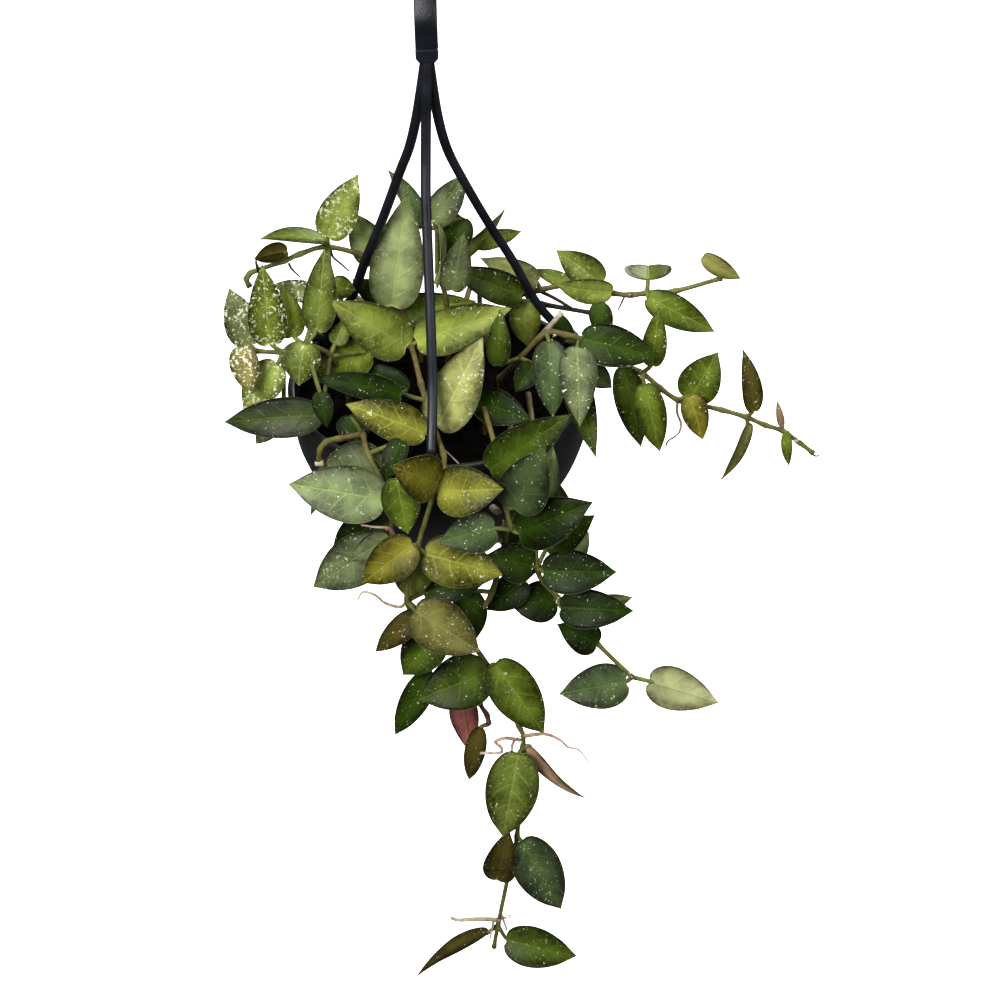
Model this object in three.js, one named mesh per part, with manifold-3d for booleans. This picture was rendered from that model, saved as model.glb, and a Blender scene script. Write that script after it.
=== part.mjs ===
// A trailing wax plant in a round hanging pot, with a three-strand hanger.
// Millimetres, +Z up. The origin is the crown of the hook, where it bears on its rail.
import * as THREE from "three";
import { mergeVertices } from "three/addons/utils/BufferGeometryUtils.js";
import Module from "manifold-3d";

const wasm = await Module();
wasm.setup();

// Driving sizes of the pot, measured from the rim plane, which is height 0 in the basket.
const HOOK_ABOVE_RIM = 234;
const RIM_RADIUS = 75;
const LIP_RADIUS = 76.2;
const LIP_DEPTH = 5;
const POT_DEPTH = 85;
const BASE_RADIUS = 36;
const WALL = 1.8;
const GAP = 0.3;
const POT_SEGMENTS = 32;
const DRAIN_RADIUS = 2.4;
const DRAIN_CIRCLE = 22;
const DRAIN_COUNT = 6;
// Outer wall between lip and base: [radius, height], shoulder first.
const BELLY = [[74.6, -12], [73.2, -27], [68, -42], [60.5, -55], [49, -70]];

// Potting mix: its level below the rim, the mounding of its top and the holes for the stems.
const MIX_LEVEL = -12;
const MIX_MOUND = 3;
const MIX_FOOT = -60;
const STEM_HOLE_DEPTH = 16;
const STEM_HOLE_MARGIN = 0.7;
const STEM_COLLAR = 5;

// Hanger: one moulding of strap, hub, three strands and three clips that straddle the rim.
const STRAP_WIDTH = 10.5;
const STRAP_THICKNESS = 3;
const HUB_TOP = 183;
const HUB_BOTTOM = 173;
const HUB_DEPTH = 8;
const STRAND_RADIUS = 2.4;
const STRAND_AZIMUTHS = [-3, 118, -125];
// One strand from the hub to its clip: [distance from the axis, height above the rim, and the
// hanger's slight sideways lean there].
const STRAND_ROUTE = [
  [0.9, 176, 0], [3.6, 160, -0.8], [6.2, 144, -1.4], [10.4, 128, -1.8], [17, 112, -1.9],
  [29.3, 84, -1], [42.8, 56, 0], [55.2, 28, 0.5], [71.5, 4.6, 0],
];
const STRAND_SIDES = 8;
const STRAND_STEP = 24;
const HOOK_INNER_RADIUS = 12;
const HOOK_STEP = 8;
const CLIP_WIDTH = 7;
const CLIP_PLAY = 1.4;
const CLIP_TOP = 4;
const CLIP_LEG = 9;
const CLIP_BARB = 1.4;

// Stems and leaves.
const STEM_RADIUS = 1.5;
const STEM_SIDES = 5;
const STEM_STEP = 22;
const STALK_RADIUS = 1.25;
const BLADE_THICKNESS = 1;
const BLADE_ARCH = 0.07;
const BLADE_FOLD = 0.16;
const BLADE_STATIONS = [0.09, 0.35, 0.7];

// The vines are laid out as they are seen from a standpoint in front of and above the pot.
// A place is [across, up, front]: across and up in the view, from the centre of the rim, and
// front is how far in front of the pot's axis the point lies.
const SIGHT_DISTANCE = 1300;
const SIGHT_ELEVATION = 36;
const SIGHT_ROLL = -1.4;
const SIGHT_CENTRE = [-30, 60];

// Each vine: the foot of its first stem in the mix as [x, front], its stems as the places of
// their nodes, and its leaves as [base, tip, width, turn]. Turn is how far a blade is turned
// about its midrib from facing the viewer: 90 is edge on, 180 shows its underside.
const VINES = [
  {
    name: "vine_centre",
    root: [-20, -45],
    stems: [
      [[-14.5, 17, 5], [-9.5, -2, 28], [-5.5, -17, 46], [-2, -27, 58], [1.7, -37, 70],
       [1.7, -44, 80], [-2.5, -55.5, 90], [-11, -83, 93], [-16.5, -110.5, 94],
       [-4, -131, 86]],
    ],
    leaves: [
      [[-16.5, 16.5, 7], [-55.5, 40, 20], 25, 0],
      [[-12, 19, 6], [36, 36, 6], 22.5, 0],
      [[-7, -27, 55], [-47.5, -12, 48], 20, 10],
      [[-1.5, -24, 50], [21.5, 21.5, 38], 25, 0],
      [[-1.5, -51.5, 94], [-24.5, -43, 110], 23, 0],
      [[-1, -56, 92], [32, -54.5, 100], 24.5, 0],
      [[-8, -87, 94], [31.5, -97.5, 97], 25, 0],
      [[-13, -82, 96], [-39, -101.5, 100], 21, 0],
      [[-11, -84, 90], [-16, -109, 82], 20, 0],
      [[-13, -115, 97], [20, -136, 102], 26, 0],
      [[-9.5, -116, 95], [-32.5, -136, 98], 13, 0],
      [[-1, -126, 88], [-18.5, -147.5, 93], 22, 0],
      [[-4.5, -145.5, 84], [-22.5, -177.5, 88], 15, 0],
      [[-8, -106, 84], [22.5, -101.5, 84], 14, 0],
    ],
  },
  {
    name: "vine_long",
    root: [34, 22],
    stems: [
      [[36, -31, 60], [36.5, -45, 78], [34, -72, 82], [26, -106, 82], [15, -126, 80],
       [24.5, -144, 82], [39.5, -173, 84], [41.5, -184, 85], [38.5, -228, 84],
       [34.5, -246, 84], [29, -272.5, 84], [27, -283.5, 83]],
      [[24.5, -144, 82], [20, -160, 79], [23.5, -167.5, 79], [24.5, -172, 80]],
    ],
    leaves: [
      [[12.5, -105, 79], [18.5, -129, 82], 17, 0],
      [[24, -146, 86], [-11, -160, 94], 28, 0],
      [[27, -141.5, 87], [52, -176.5, 92], 24, 0],
      [[10.5, -159.5, 78], [16, -187.5, 76], 15, 180],
      [[20, -173.5, 80], [14.5, -200, 78], 11, 0],
      [[39.5, -186, 90], [31.5, -228.5, 93], 27.5, 0],
      [[44, -182.5, 86], [72.5, -209, 88], 13, 64],
      [[28.5, -250, 86], [34.5, -224.5, 92], 18, 0],
      [[40.5, -230, 87], [60.5, -264.5, 91], 25.5, 0],
      [[24, -276, 84], [-11.5, -298, 86], 16, 62],
      [[33, -280, 86], [68.5, -288, 92], 22.5, 10],
    ],
  },
  {
    name: "vine_right_low",
    root: [44, 8],
    stems: [
      [[47, -25, 54], [52, -38, 68], [50, -62, 73], [48.5, -94, 79], [59, -109, 79],
       [78.5, -131.5, 78], [96, -148.5, 80]],
    ],
    leaves: [
      [[46, -93, 82], [22, -88, 92], 20, 0],
      [[51.5, -96, 84], [88.5, -96, 88], 22, 0],
      [[60, -114, 84], [97, -115.5, 90], 20, 0],
      [[58, -110, 74], [35, -112.5, 76], 21, 0],
      [[42.5, -100, 74], [23.5, -115, 76], 17, 0],
      [[60, -92, 70], [74.5, -76, 66], 15, 180],
      [[72.5, -115, 74], [96.5, -108.5, 74], 10, 180],
      [[78.5, -132, 80], [58.5, -122, 84], 17, 0],
      [[93.5, -151, 82], [59.5, -157, 86], 23, 0],
      [[104.5, -150.5, 82], [139.5, -161.5, 84], 22, 180],
      [[53, -84, 76], [77.5, -67.5, 80], 17, 0],
      [[47.5, -80.5, 66], [29, -76, 66], 16, 0],
    ],
  },
  {
    name: "vine_front_right",
    root: [22, 34],
    stems: [
      [[22, -14, 40], [28, -35, 66], [29.5, -41, 75], [31, -50, 82], [33, -64, 88],
       [36, -75, 90]],
    ],
    leaves: [
      [[18, -10, 36], [45.5, -20, 52], 18, 0],
      [[24.5, -45, 78], [66, -17, 84], 22, 0],
      [[37, -64.5, 92], [52.5, -33, 96], 25, 0],
      [[50, -62.5, 84], [56, -30.5, 86], 15, 0],
      [[39, -77, 92], [76.5, -61, 98], 24, 0],
      [[27.5, -74, 94], [-0.5, -81, 102], 20, 0],
    ],
  },
  {
    name: "vine_front_left",
    root: [-40, 25],
    stems: [
      [[-38.5, -27, 56], [-36, -37, 74], [-26, -58, 84], [-24, -78, 84], [-22, -92, 82]],
      [[-38.5, -27, 56], [-51, -29.5, 60], [-57, -31, 63], [-60, -35, 64],
       [-60.5, -40.5, 64]],
    ],
    leaves: [
      [[-28, -60, 88], [-76, -52, 84], 27.5, 0],
      [[-22, -49, 88], [-16, -77, 94], 18.5, 0],
      [[-27.5, -45, 74], [-61, -45, 62], 28, 0],
      [[-19, -30, 72], [-27, -50, 82], 12, 20],
      [[-25.5, -79, 88], [-45, -90.5, 94], 13, 0],
      [[-29, -82, 84], [-63.5, -103.5, 86], 25, 0],
      [[-28, -70, 76], [-53.5, -83, 72], 19, 0],
      [[-45, -17.5, 42], [-39, -33.5, 58], 17, 0],
    ],
  },
  {
    name: "vine_left",
    root: [-46, 4],
    stems: [
      [[-55, 12, 14], [-67.5, 17.5, 16], [-78.5, 14, 14], [-92, 14.5, 12]],
    ],
    leaves: [
      [[-59, -17.5, 42], [-108, -21, 34], 20, 0],
      [[-60, -6, 46], [-56.5, -24, 54], 10, 0],
      [[-78, -14, 18], [-92, -32, 14], 12, 0],
      [[-81, 8, 16], [-98.5, -14.5, 20], 19, 0],
      [[-67, 18, 20], [-70.5, -3, 30], 22, 30],
      [[-85, 17.5, 14], [-89, 58, 8], 19, 0],
      [[-95, 17.5, 10], [-105.5, 46, 2], 18, 0],
      [[-99.5, 16.5, 18], [-95, -7, 30], 14.5, 0],
      [[-73.5, 21.5, 10], [-79, 47.5, 2], 15, 0],
      [[-61.5, 24, 11], [-57.5, 66.5, 0], 17, 0],
      [[-52.5, 18, 10], [-47, 30, 2], 10, 0],
      [[-35, 14, 0], [-65.5, 3.5, 16], 20, 0],
      [[-60, 42, 0], [-83.5, 48, -6], 11, 0],
    ],
  },
  {
    name: "vine_low_middle",
    root: [-24, 8],
    stems: [
      [[-20, -7, 20], [-22, -9, 30]],
    ],
    leaves: [
      [[-19, -8, 30], [-64, 1, 30], 14, 20],
      [[-16, -5, 10], [-40, 7.5, -2], 13, 0],
      [[-8, -10, 24], [14, -20, 40], 14, 0],
    ],
  },
  {
    name: "vine_upper_left",
    root: [-10, -32],
    stems: [
      [[-24, 43, -36], [-37, 60.5, -34], [-56, 66.5, -31], [-70, 63, -28], [-78, 59.5, -26],
       [-95, 53.5, -23], [-97, 50.5, -22], [-95, 46.5, -21]],
    ],
    leaves: [
      [[-56.5, 71.5, -28], [-41, 103, -33], 19.5, 0],
      [[-57, 69.5, -29], [-90, 70.5, -22], 19, 66],
      [[-76.5, 64.5, -24], [-93, 60.5, -14], 11, 150],
      [[-31, 59, -42], [-44.5, 84.5, -42], 19, 0],
      [[-24, 36.5, -27], [-16.5, 94, -28], 27, 0],
      [[-27, 33, -42], [18.5, 39.5, -38], 17, 0],
      [[-54.5, 47, -21], [-42, 45, -22], 12, 0],
      [[-26, 39, -38], [-44, 50.5, -38], 13, 0],
    ],
  },
  {
    name: "vine_top",
    root: [4, -24],
    stems: [
      [[3, 40, -16], [-1, 54, -14], [-1.5, 76, -14]],
    ],
    leaves: [
      [[-3.5, 79, -12], [13, 103, -20], 15.5, 0],
      [[-8.5, 76, -34], [-26, 105, -54], 13, 40],
      [[11.5, 81.5, -20], [0, 59, -16], 18, 0],
      [[-1.5, 47.5, -8], [-1, 79, -8], 18, 80],
      [[6, 44.5, 1], [12, 74, -2], 15, 0],
      [[2, 58.5, -15], [32.5, 85.5, -41], 19, 70],
      [[17, 67.5, -30], [41, 74.5, -38], 9.5, 0],
    ],
  },
  {
    name: "vine_right_top",
    root: [20, -34],
    stems: [
      [[37.5, 40, -34], [50, 45, -35], [67.5, 47.5, -33], [86, 43.5, -29], [95.5, 42.5, -27],
       [103.5, 43.5, -26], [117.5, 44.5, -25], [141, 51, -25]],
      [[37.5, 40, -34], [50.5, 38, -37], [76, 33.5, -24]],
    ],
    leaves: [
      [[41, 42, -25], [4.5, 56, -17], 17, 0],
      [[49, 49, -34], [20, 61, -28], 14, 0],
      [[66, 48, -38], [46, 55.5, -41], 8, 0],
      [[42, 39.5, -32], [43.5, 17, -28], 16, 0],
      [[80.5, 48.5, -26], [58, 65, -28], 17, 0],
      [[86, 44, -24], [57.5, 48, -22], 15, -30],
      [[79, 38.5, -20], [83, 20, -14], 12, 0],
      [[104, 50, -28], [104, 57, -58], 24, 0],
      [[131.5, 62, -22], [150.5, 50.5, -20], 10, 20],
      [[103.5, 41.5, -22], [137.5, 24, -16], 16.5, 0],
    ],
  },
  {
    name: "vine_right",
    root: [30, -6],
    stems: [
      [[30, 1, 8], [40, 11, 10], [53, 23.5, 10], [62.5, 22.5, 10], [70, 20.5, 9],
       [85, 11.5, 6], [101, 3.5, 6], [110, -4, 6], [119, -10, 7], [130, -12.5, 8],
       [141, -15, 8], [153, -18.5, 8], [162.5, -22.5, 8], [171.5, -25.5, 8], [180, -31.5, 8],
       [186.5, -36.5, 8]],
      [[50, 21, 10], [61, 34, 5]],
    ],
    leaves: [
      [[29, 7, 20], [30, 35, 10], 12, 0],
      [[47, 8, 20], [37.5, -6, 28], 12, 0],
      [[54.5, 19.5, 16], [56.5, -19, 34], 18, 0],
      [[68.5, 16.5, 16], [70, -23.5, 50], 19, 0],
      [[65, 7.5, 10], [78, -39, 54], 15, 0],
      [[74, 6, 6], [86, -4, 12], 12, 0],
      [[63, 18.5, 2], [60, 34, -4], 10, 0],
      [[70.5, 20.5, 14], [109.5, 11.5, 20], 21, 0],
      [[106, 7, 9], [109.5, 36.5, 4], 12.5, 0],
      [[91.5, 7, 6], [100.5, -33.5, 12], 16, 0],
      [[102, -2, 12], [110, -36, 20], 16, 0],
      [[125, -9.5, 6], [139, 14, 2], 21, 0],
      [[125, -7.5, 12], [131.5, -30, 20], 13.5, 0],
      [[157, -16, 8], [151.5, 15.5, 2], 11, 20],
      [[154.5, -21.5, 9], [140.5, -50, 14], 11, -60],
      [[173.5, -25.5, 9], [174.5, -43, 12], 6, 20],
      [[171, -23.5, 8], [168.5, -10, 6], 4, 0],
    ],
  },
];

// Vines that trail down the back, each by rule: where it stands in the pot and passes the rim
// (degrees clockwise from the front, seen from above), how far out and how far down it hangs,
// how far it swings sideways on the way, and the seed of its small differences.
const TRAILING = [
  { name: "vine_back_1", azimuth: 147, reach: 87, hang: 108, swing: 6, seed: 11 },
  { name: "vine_back_2", azimuth: 168, reach: 104, hang: 148, swing: 4, seed: 23 },
  { name: "vine_back_3", azimuth: 191, reach: 87, hang: 114, swing: -4, seed: 37 },
  { name: "vine_back_4", azimuth: 213, reach: 104, hang: 112, swing: -6, seed: 51 },
];
const TRAIL_NODE_STEP = 37;
const TRAIL_LEAF_LENGTH = 37;
const TRAIL_LEAF_WIDTH = 22;

const radians = THREE.MathUtils.degToRad;
const vector = (x, y, z) => new THREE.Vector3(x, y, z);

// Standpoint and the right, up and forward directions of the view.
const sight = (() => {
  const tilt = radians(SIGHT_ELEVATION);
  const roll = radians(SIGHT_ROLL);
  const forward = vector(0, Math.cos(tilt), -Math.sin(tilt));
  const level = vector(1, 0, 0);
  const upright = vector(0, Math.sin(tilt), Math.cos(tilt));
  const right = level.clone().multiplyScalar(Math.cos(roll)).addScaledVector(upright, Math.sin(roll));
  const up = upright.clone().multiplyScalar(Math.cos(roll)).addScaledVector(level, -Math.sin(roll));
  const eye = forward.clone().multiplyScalar(-SIGHT_DISTANCE);
  eye.addScaledVector(right, -SIGHT_CENTRE[0]).addScaledVector(up, -SIGHT_CENTRE[1]);
  return { eye, forward, right, up };
})();

// The point on the line of sight through (across, up) that lies `front` before the pot's axis.
function place([across, up, front]) {
  const ray = sight.forward.clone().multiplyScalar(SIGHT_DISTANCE);
  ray.addScaledVector(sight.right, across + SIGHT_CENTRE[0]);
  ray.addScaledVector(sight.up, up + SIGHT_CENTRE[1]);
  const reach = (-front - sight.eye.y) / ray.y;
  return sight.eye.clone().addScaledVector(ray, reach);
}

// A closed solid for joining, from any closed geometry.
function solid(geometry) {
  const bare = geometry.index ? geometry.toNonIndexed() : geometry.clone();
  bare.deleteAttribute("normal");
  bare.deleteAttribute("uv");
  const merged = mergeVertices(bare, 1e-4);
  return solidOf(merged.attributes.position.array, merged.index.array);
}

function solidOf(positions, index) {
  const vertProperties = Float32Array.from(positions);
  const triVerts = Uint32Array.from(index);
  return new wasm.Manifold(new wasm.Mesh({ numProp: 3, vertProperties, triVerts }));
}

function geometryOf(manifold) {
  const mesh = manifold.getMesh();
  const geometry = new THREE.BufferGeometry();
  geometry.setAttribute("position", new THREE.BufferAttribute(Float32Array.from(mesh.vertProperties), 3));
  geometry.setIndex(new THREE.BufferAttribute(Uint32Array.from(mesh.triVerts), 1));
  return geometry;
}

const join = (solids) => wasm.Manifold.union(solids);

// A closed skin over a row of rings, whose corners run anticlockwise as seen from the row's
// far end. Rings may differ in their number of corners, and a ring of one is a point.
function loft(rings) {
  const index = [];
  for (let k = 1; k < rings[0].length - 1; k += 1) index.push(0, k + 1, k);
  let near = 0;
  for (let ring = 1; ring < rings.length; ring += 1) {
    const nearCount = rings[ring - 1].length;
    const farCount = rings[ring].length;
    const most = Math.max(nearCount, farCount);
    const far = near + nearCount;
    const corner = (count, j) => Math.floor((j * count) / most) % count;
    for (let j = 0; j < most; j += 1) {
      const [a, nextA] = [corner(nearCount, j), corner(nearCount, j + 1)];
      const [b, nextB] = [corner(farCount, j), corner(farCount, j + 1)];
      if (a !== nextA) index.push(near + a, near + nextA, far + nextB);
      if (b !== nextB) index.push(near + a, far + nextB, far + b);
    }
    near = far;
  }
  const ends = rings[rings.length - 1].length;
  for (let k = 1; k < ends - 1; k += 1) index.push(near, near + k, near + k + 1);
  return solidOf(rings.flat().flatMap((point) => point.toArray()), index);
}

// A closed bar along a path. Each corner of its section is [a, b]: a along `first`, which is
// carried along the path without twisting, and b square to both `first` and the path.
function sweep(path, section, first) {
  const aside = first.clone();
  return loft(path.map((point, i) => {
    const heading = path[Math.min(i + 1, path.length - 1)].clone()
      .sub(path[Math.max(i - 1, 0)]).normalize();
    aside.addScaledVector(heading, -aside.dot(heading)).normalize();
    const second = heading.clone().cross(aside);
    return section.map(([a, b]) => (
      point.clone().addScaledVector(aside, a).addScaledVector(second, b)));
  }));
}

function roundSection(radius, sides) {
  return Array.from({ length: sides }, (_, i) => {
    const turn = (2 * Math.PI * i) / sides;
    return [radius * Math.cos(turn), radius * Math.sin(turn)];
  });
}

// A round rod that passes through every point of its path.
function rod(path, radius, sides) {
  const start = path[1].clone().sub(path[0]);
  const first = Math.abs(start.x) > Math.abs(start.z) ? vector(0, 0, 1) : vector(1, 0, 0);
  return sweep(path, roundSection(radius, sides), first);
}

// The points of a smooth path through the given ones, with none further apart than about `step`.
function smoothed(points, step) {
  const curve = new THREE.CatmullRomCurve3(points, false, "catmullrom", 0.5);
  const spans = points.length - 1;
  const path = [points[0]];
  for (let span = 0; span < spans; span += 1) {
    const pieces = Math.max(1, Math.round(points[span].distanceTo(points[span + 1]) / step));
    for (let i = 1; i <= pieces; i += 1) path.push(curve.getPoint((span + i / pieces) / spans));
  }
  return path;
}

// Half width of a blade, as a share of its widest, at a share t of its length.
const bladeOutline = (t) => (t ** 0.48 * (1 - t) ** 0.92) / 0.4066;

// Corners of a leaf's cross-sections, [across, above], in shares of the half width and the
// half thickness for the blade, and of the radius for the stalk.
const BLADE_SECTION = [[-1, 1], [0, 1], [1, 1], [1, -1], [0, -1], [-1, -1]];
const STALK_SECTION = [[-0.5, 0.87], [1, 0], [-0.5, -0.87]];

// A leaf in one piece: a stalk that starts inside the stem, then a thin blade, folded and
// arched along its midrib and widest near a third of its length.
function leaf(node, base, tip, width, face) {
  const length = base.distanceTo(tip);
  const along = tip.clone().sub(base).normalize();
  const side = along.clone().cross(face).normalize();
  const normal = side.clone().cross(along);
  const stalkRing = (centre, heading) => {
    const bend = new THREE.Quaternion().setFromUnitVectors(along, heading);
    const aside = side.clone().applyQuaternion(bend);
    const over = normal.clone().applyQuaternion(bend);
    return STALK_SECTION.map(([across, above]) => centre.clone()
      .addScaledVector(aside, across * STALK_RADIUS)
      .addScaledVector(over, above * STALK_RADIUS));
  };
  const bladeRing = (t) => {
    const half = (width / 2) * bladeOutline(t);
    const arch = BLADE_ARCH * length * 4 * t * (1 - t);
    return BLADE_SECTION.map(([across, above]) => base.clone()
      .addScaledVector(along, length * t)
      .addScaledVector(side, across * half)
      .addScaledVector(normal, arch + Math.abs(across) * BLADE_FOLD * half)
      .addScaledVector(normal, (above * BLADE_THICKNESS) / 2));
  };
  const heading = base.clone().sub(node).normalize();
  const stalked = node.distanceTo(base) > 3 * STALK_RADIUS;
  const stalk = stalked
    ? [stalkRing(node, heading), stalkRing(base, heading.clone().add(along).normalize())]
    : [stalkRing(node, along)];
  return loft([...stalk, ...BLADE_STATIONS.map(bladeRing), [tip]]);
}

const nearest = (nodes, point) => nodes.reduce((best, node) => (
  node.distanceTo(point) < best.distanceTo(point) ? node : best));

// Which way a blade faces: towards the viewer, then turned about its own midrib.
function facing(base, tip, turn) {
  const along = tip.clone().sub(base).normalize();
  const toViewer = sight.eye.clone().sub(base.clone().lerp(tip, 0.5)).normalize();
  const side = along.clone().cross(toViewer).normalize();
  return side.cross(along).applyAxisAngle(along, radians(turn));
}

// A stem on its path, which starts upright in its hole in the mix.
function rootedStem([x, front], route) {
  const foot = vector(x, -front, MIX_LEVEL - STEM_HOLE_DEPTH + 2);
  const collar = vector(x, -front, MIX_LEVEL + MIX_MOUND + STEM_COLLAR);
  return rod([foot, ...smoothed([collar, ...route], STEM_STEP)], STEM_RADIUS, STEM_SIDES);
}

// One vine as one solid: its stems, then each leaf of its list, from the nearest node.
function placedVine(vine) {
  const routes = vine.stems.map((stem) => stem.map(place));
  const nodes = routes.flat();
  const parts = routes.map((route, order) => (
    order === 0
      ? rootedStem(vine.root, route)
      : rod(smoothed(route, STEM_STEP), STEM_RADIUS, STEM_SIDES)));
  for (const [basePlace, tipPlace, width, turn] of vine.leaves) {
    const base = place(basePlace);
    const tip = place(tipPlace);
    parts.push(leaf(nearest(nodes, base), base, tip, width, facing(base, tip, turn)));
  }
  return { name: vine.name, root: vine.root, shape: join(parts) };
}

// Small repeatable differences between leaves: the next draw lies between 0 and 1.
function drawsFrom(seed) {
  let state = seed;
  return () => {
    state = (state * 16807) % 2147483647;
    return state / 2147483647;
  };
}

// One vine laid by rule: up from the mix, over the rim, then hanging with paired leaves, by
// turns spread to the sides and held close.
function trailingVine({ name, azimuth, reach, hang, swing, seed }) {
  const draw = drawsFrom(seed * 7919);
  const out = (degrees, distance, height) => {
    const turn = radians(degrees);
    return vector(distance * Math.sin(turn), -distance * Math.cos(turn), height);
  };
  const foot = out(azimuth, 46, 0);
  const root = [foot.x, -foot.y];
  const nodes = [];
  const count = Math.round(hang / TRAIL_NODE_STEP);
  for (let i = 1; i <= count; i += 1) {
    const share = i / count;
    nodes.push(out(azimuth + swing * share, reach + 3 * draw(), -hang * share));
  }
  const route = [out(azimuth, 64, 7), out(azimuth, 0.4 * 78 + 0.6 * reach, 5), ...nodes];
  const parts = [rootedStem(root, route)];
  nodes.forEach((node, order) => {
    for (const hand of [-1, 1]) {
      const length = TRAIL_LEAF_LENGTH * (0.88 + 0.24 * draw());
      const width = TRAIL_LEAF_WIDTH * (0.88 + 0.24 * draw());
      const drop = radians((order % 2 ? 64 : 34) + 18 * draw());
      const heading = out(azimuth + 90 * hand, Math.cos(drop), -Math.sin(drop))
        .add(out(azimuth, 0.12, 0)).normalize();
      const base = node.clone().addScaledVector(heading, 5).add(out(azimuth, 2, 0));
      const tip = base.clone().addScaledVector(heading, length);
      parts.push(leaf(node, base, tip, width, out(azimuth, 0.9, 0.35)));
    }
  });
  return { name, root, shape: join(parts) };
}

function wallProfile(inset) {
  return [
    [0, -POT_DEPTH + inset],
    [BASE_RADIUS - inset, -POT_DEPTH + inset],
    ...BELLY.map(([radius, height]) => [radius - inset, height]).reverse(),
  ];
}

// The pot: a round bowl with a flat foot and a bead under its rim, drained by small holes.
function pot() {
  const outline = [
    ...wallProfile(0),
    [RIM_RADIUS - 0.8, -LIP_DEPTH - 1],
    [LIP_RADIUS, -LIP_DEPTH + 0.4],
    [LIP_RADIUS, -0.8],
    [LIP_RADIUS - 0.8, 0],
    [RIM_RADIUS - WALL - 0.5, 0],
    [RIM_RADIUS - WALL - 0.8, -LIP_DEPTH - 1],
    ...wallProfile(WALL).reverse(),
  ].map(([radius, height]) => new THREE.Vector2(radius, height));
  const drains = [];
  for (let i = 0; i < DRAIN_COUNT; i += 1) {
    const turn = (2 * Math.PI * i) / DRAIN_COUNT;
    const drain = new THREE.CylinderGeometry(DRAIN_RADIUS, DRAIN_RADIUS, 3 * WALL, 8);
    drain.rotateX(Math.PI / 2);
    drain.translate(DRAIN_CIRCLE * Math.cos(turn), DRAIN_CIRCLE * Math.sin(turn), -POT_DEPTH + WALL / 2);
    drains.push(solid(drain));
  }
  return upright(new THREE.LatheGeometry(outline, POT_SEGMENTS)).subtract(join(drains));
}

// A lathe turns about +Y in three.js: this stands it on +Z.
function upright(lathe) {
  lathe.rotateX(Math.PI / 2);
  return solid(lathe);
}

// Potting mix with a mounded top and a plain hole for each stem.
function pottingMix(roots) {
  const inset = WALL + GAP;
  const wall = BELLY.filter(([, height]) => height >= MIX_FOOT);
  const outline = [
    [0, MIX_FOOT],
    [52 - inset, MIX_FOOT],
    ...wall.map(([radius, height]) => [radius - inset - 0.2, height]).reverse(),
    [50, MIX_LEVEL + MIX_MOUND * 0.6],
    [25, MIX_LEVEL + MIX_MOUND],
    [0, MIX_LEVEL + MIX_MOUND * 0.8],
  ].map(([radius, height]) => new THREE.Vector2(radius, height));
  const bed = upright(new THREE.LatheGeometry(outline, 20));
  const holes = roots.map(([x, front]) => {
    const hole = new THREE.CylinderGeometry(
      STEM_RADIUS + STEM_HOLE_MARGIN, STEM_RADIUS + STEM_HOLE_MARGIN, 2 * STEM_HOLE_DEPTH, 6);
    hole.rotateX(Math.PI / 2);
    hole.translate(x, -front, MIX_LEVEL);
    return solid(hole);
  });
  return bed.subtract(join(holes));
}

// The clip at a strand's foot: it straddles the rim, with a barb under the bead.
function clip(azimuth) {
  const inner = RIM_RADIUS - WALL - 0.5 - CLIP_PLAY;
  const outer = LIP_RADIUS + 0.4;
  const outline = new THREE.Shape([
    [inner - 1.8, CLIP_TOP],
    [inner - 1.8, -CLIP_LEG],
    [inner, -CLIP_LEG],
    [inner, GAP],
    [outer, GAP],
    [outer, -LIP_DEPTH - 0.6],
    [outer - CLIP_BARB, -LIP_DEPTH - 1.2],
    [outer, -CLIP_LEG],
    [outer + 1.8, -CLIP_LEG],
    [outer + 1.8, CLIP_TOP],
  ].map(([radius, height]) => new THREE.Vector2(radius, height)));
  const block = new THREE.ExtrudeGeometry(outline, { depth: CLIP_WIDTH, bevelEnabled: false });
  block.translate(0, 0, -CLIP_WIDTH / 2);
  block.rotateX(Math.PI / 2);
  block.rotateZ(radians(azimuth - 90));
  return solid(block);
}

// The hook: a flat strap that rises from the hub, steps back and curls forward over the rail.
function hook() {
  const centre = HOOK_ABOVE_RIM - HOOK_INNER_RADIUS;
  const middle = HOOK_INNER_RADIUS + STRAP_THICKNESS / 2;
  const route = [[0, HUB_TOP - 4], [0, HUB_TOP + 12], [middle * 0.55, centre - middle]];
  for (let degrees = -20; degrees <= 205; degrees += 15) {
    const turn = radians(degrees);
    route.push([middle * Math.cos(turn), centre + middle * Math.sin(turn)]);
  }
  const path = smoothed(route.map(([back, height]) => vector(0, back, height)), HOOK_STEP);
  const wide = STRAP_WIDTH / 2;
  const thick = STRAP_THICKNESS / 2;
  return sweep(path, [[wide, thick], [-wide, thick], [-wide, -thick], [wide, -thick]], vector(1, 0, 0));
}

function hub() {
  const half = STRAP_WIDTH / 2;
  const outline = new THREE.Shape([
    [-half, HUB_TOP], [-half, HUB_BOTTOM + 2], [-half + 1.5, HUB_BOTTOM],
    [half - 1.5, HUB_BOTTOM], [half, HUB_BOTTOM + 2], [half, HUB_TOP],
  ].map(([across, height]) => new THREE.Vector2(across, height)));
  const block = new THREE.ExtrudeGeometry(outline, { depth: HUB_DEPTH, bevelEnabled: false });
  block.translate(0, 0, -HUB_DEPTH / 2);
  block.rotateX(Math.PI / 2);
  return solid(block);
}

function strand(azimuth) {
  const turn = radians(azimuth);
  const points = STRAND_ROUTE.map(([radius, height, lean]) => (
    vector(radius * Math.sin(turn) + lean, -radius * Math.cos(turn), height)));
  return rod(smoothed(points, STRAND_STEP), STRAND_RADIUS, STRAND_SIDES);
}

function hanger() {
  return join([hub(), hook(), ...STRAND_AZIMUTHS.map(strand), ...STRAND_AZIMUTHS.map(clip)]);
}

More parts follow.
